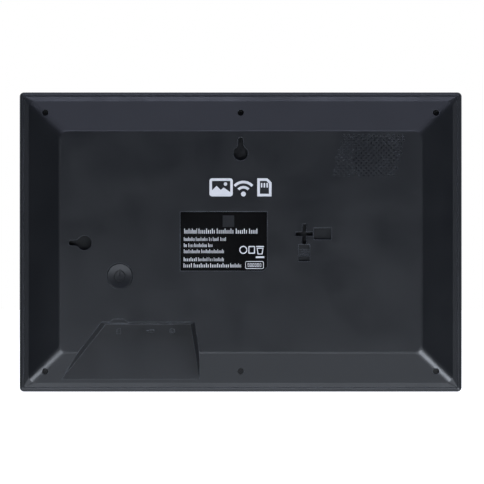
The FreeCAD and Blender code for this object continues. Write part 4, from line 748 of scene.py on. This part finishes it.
def add_floor():
    """A wide sheet of pale paper under the frame."""
    mesh = bmesh.new()
    bmesh.ops.create_grid(mesh, x_segments=FLOOR_TILES, y_segments=FLOOR_TILES, size=FLOOR_REACH)
    data = bpy.data.meshes.new("floor")
    mesh.to_mesh(data)
    mesh.free()
    data.materials.append(pale_floor("floor_paper"))
    floor = bpy.data.objects.new("floor", data)
    floor.visible_shadow = False
    floor.visible_glossy = False
    floor.visible_diffuse = False
    bpy.context.scene.collection.objects.link(floor)


WHITE = (1.0, 1.0, 1.0)
COOL = (0.84, 0.90, 1.0)
SKY = (0.72, 0.77, 1.0)
# name, place, width, height, brightness and colour; each is aimed at the frame's middle
SOFT_BOXES = (
    ("overhead", (0, 0.25, 1.15), 1.5, 0.7, 1.0, SKY),
    ("upper_strip", (0, 0.9, 0.93), 1.6, 0.16, 6.2, SKY),
    ("low_strip", (0, 0.95, -0.22), 1.3, 0.2, 4.4, COOL),
    ("under_strip", (0, 0.80, -0.70), 1.5, 0.20, 3.7, COOL),
    ("underneath", (0, 0.25, -0.95), 1.5, 0.7, 0.95, COOL),
    ("left_strip", (0.95, 0.9, 0.1), 0.14, 0.9, 0.9, COOL),
    ("right_strip", (-0.95, 0.9, 0.1), 0.14, 0.9, 1.2, COOL),
    ("low_left", (0.62, 0.56, -0.52), 0.28, 0.28, 12.0, COOL),
    ("low_right", (-0.62, 0.56, -0.52), 0.32, 0.32, 15.0, COOL),
    ("in_front", (0.4, -2.4, 1.1), 1.4, 1.2, 0.9, WHITE),
)


def add_soft_box(name, place, target, wide, tall, radiance, colour):
    """A large soft lamp at place, aimed at target, of the given brightness for its area."""
    data = bpy.data.lights.new(name, "AREA")
    data.shape = "RECTANGLE"
    data.size = wide
    data.size_y = tall
    data.energy = radiance * math.pi * wide * tall
    data.color = colour
    lamp = bpy.data.objects.new(name, data)
    lamp.location = place
    lamp.rotation_mode = "QUATERNION"
    lamp.rotation_quaternion = (Vector(target) - Vector(place)).to_track_quat("-Z", "Y")
    lamp.visible_camera = False
    bpy.context.scene.collection.objects.link(lamp)


def add_lights():
    """Soft light from above, from below through the paper, from the sides, low corners and front."""
    middle = (cad_low + cad_high) / 2
    for name, place, wide, tall, radiance, colour in SOFT_BOXES:
        add_soft_box(name, place, middle, wide, tall, radiance, colour)


DIM_END = 0.03                 # the room's light from behind the camera of the main view
PALE_END = 1.0                 # and from the end that the screen faces
DIM_FROM = -0.05               # the direction's y where the dim end stops
PALE_FROM = -0.6               # and where the pale end starts


def add_surroundings():
    """A white room to look at; it lights the frame mostly from the end that the screen faces."""
    world = bpy.data.worlds.new("room")
    world.use_nodes = True
    bpy.context.scene.world = world
    nodes = world.node_tree.nodes
    links = world.node_tree.links
    direction = nodes.new("ShaderNodeTexCoord").outputs["Generated"]
    axes = nodes.new("ShaderNodeSeparateXYZ")
    links.new(direction, axes.inputs["Vector"])
    strength = nodes.new("ShaderNodeMapRange")
    strength.inputs["From Min"].default_value = DIM_FROM
    strength.inputs["From Max"].default_value = PALE_FROM
    strength.inputs["To Min"].default_value = DIM_END
    strength.inputs["To Max"].default_value = PALE_END
    links.new(axes.outputs["Y"], strength.inputs["Value"])
    dim = nodes["Background"]
    dim.inputs["Color"].default_value = (*COOL, 1.0)
    links.new(strength.outputs["Result"], dim.inputs["Strength"])
    white = nodes.new("ShaderNodeBackground")
    white.inputs["Color"].default_value = (*WHITE, 1.0)
    seen = nodes.new("ShaderNodeLightPath").outputs["Is Camera Ray"]
    choice = nodes.new("ShaderNodeMixShader")
    links.new(seen, choice.inputs["Fac"])
    links.new(dim.outputs["Background"], choice.inputs[1])
    links.new(white.outputs["Background"], choice.inputs[2])
    links.new(choice.outputs["Shader"], nodes["World Output"].inputs["Surface"])


bpy.context.scene.view_settings.view_transform = "Standard"
add_camera()
dress_nodes(make_finishes())
white_ink = screen_ink("white_ink", WHITE_INK)
print_picture_marks(white_ink)
print_label(white_ink)
print_front_border(screen_ink("border_ink", BORDER_INK))
add_floor()
add_lights()
add_surroundings()
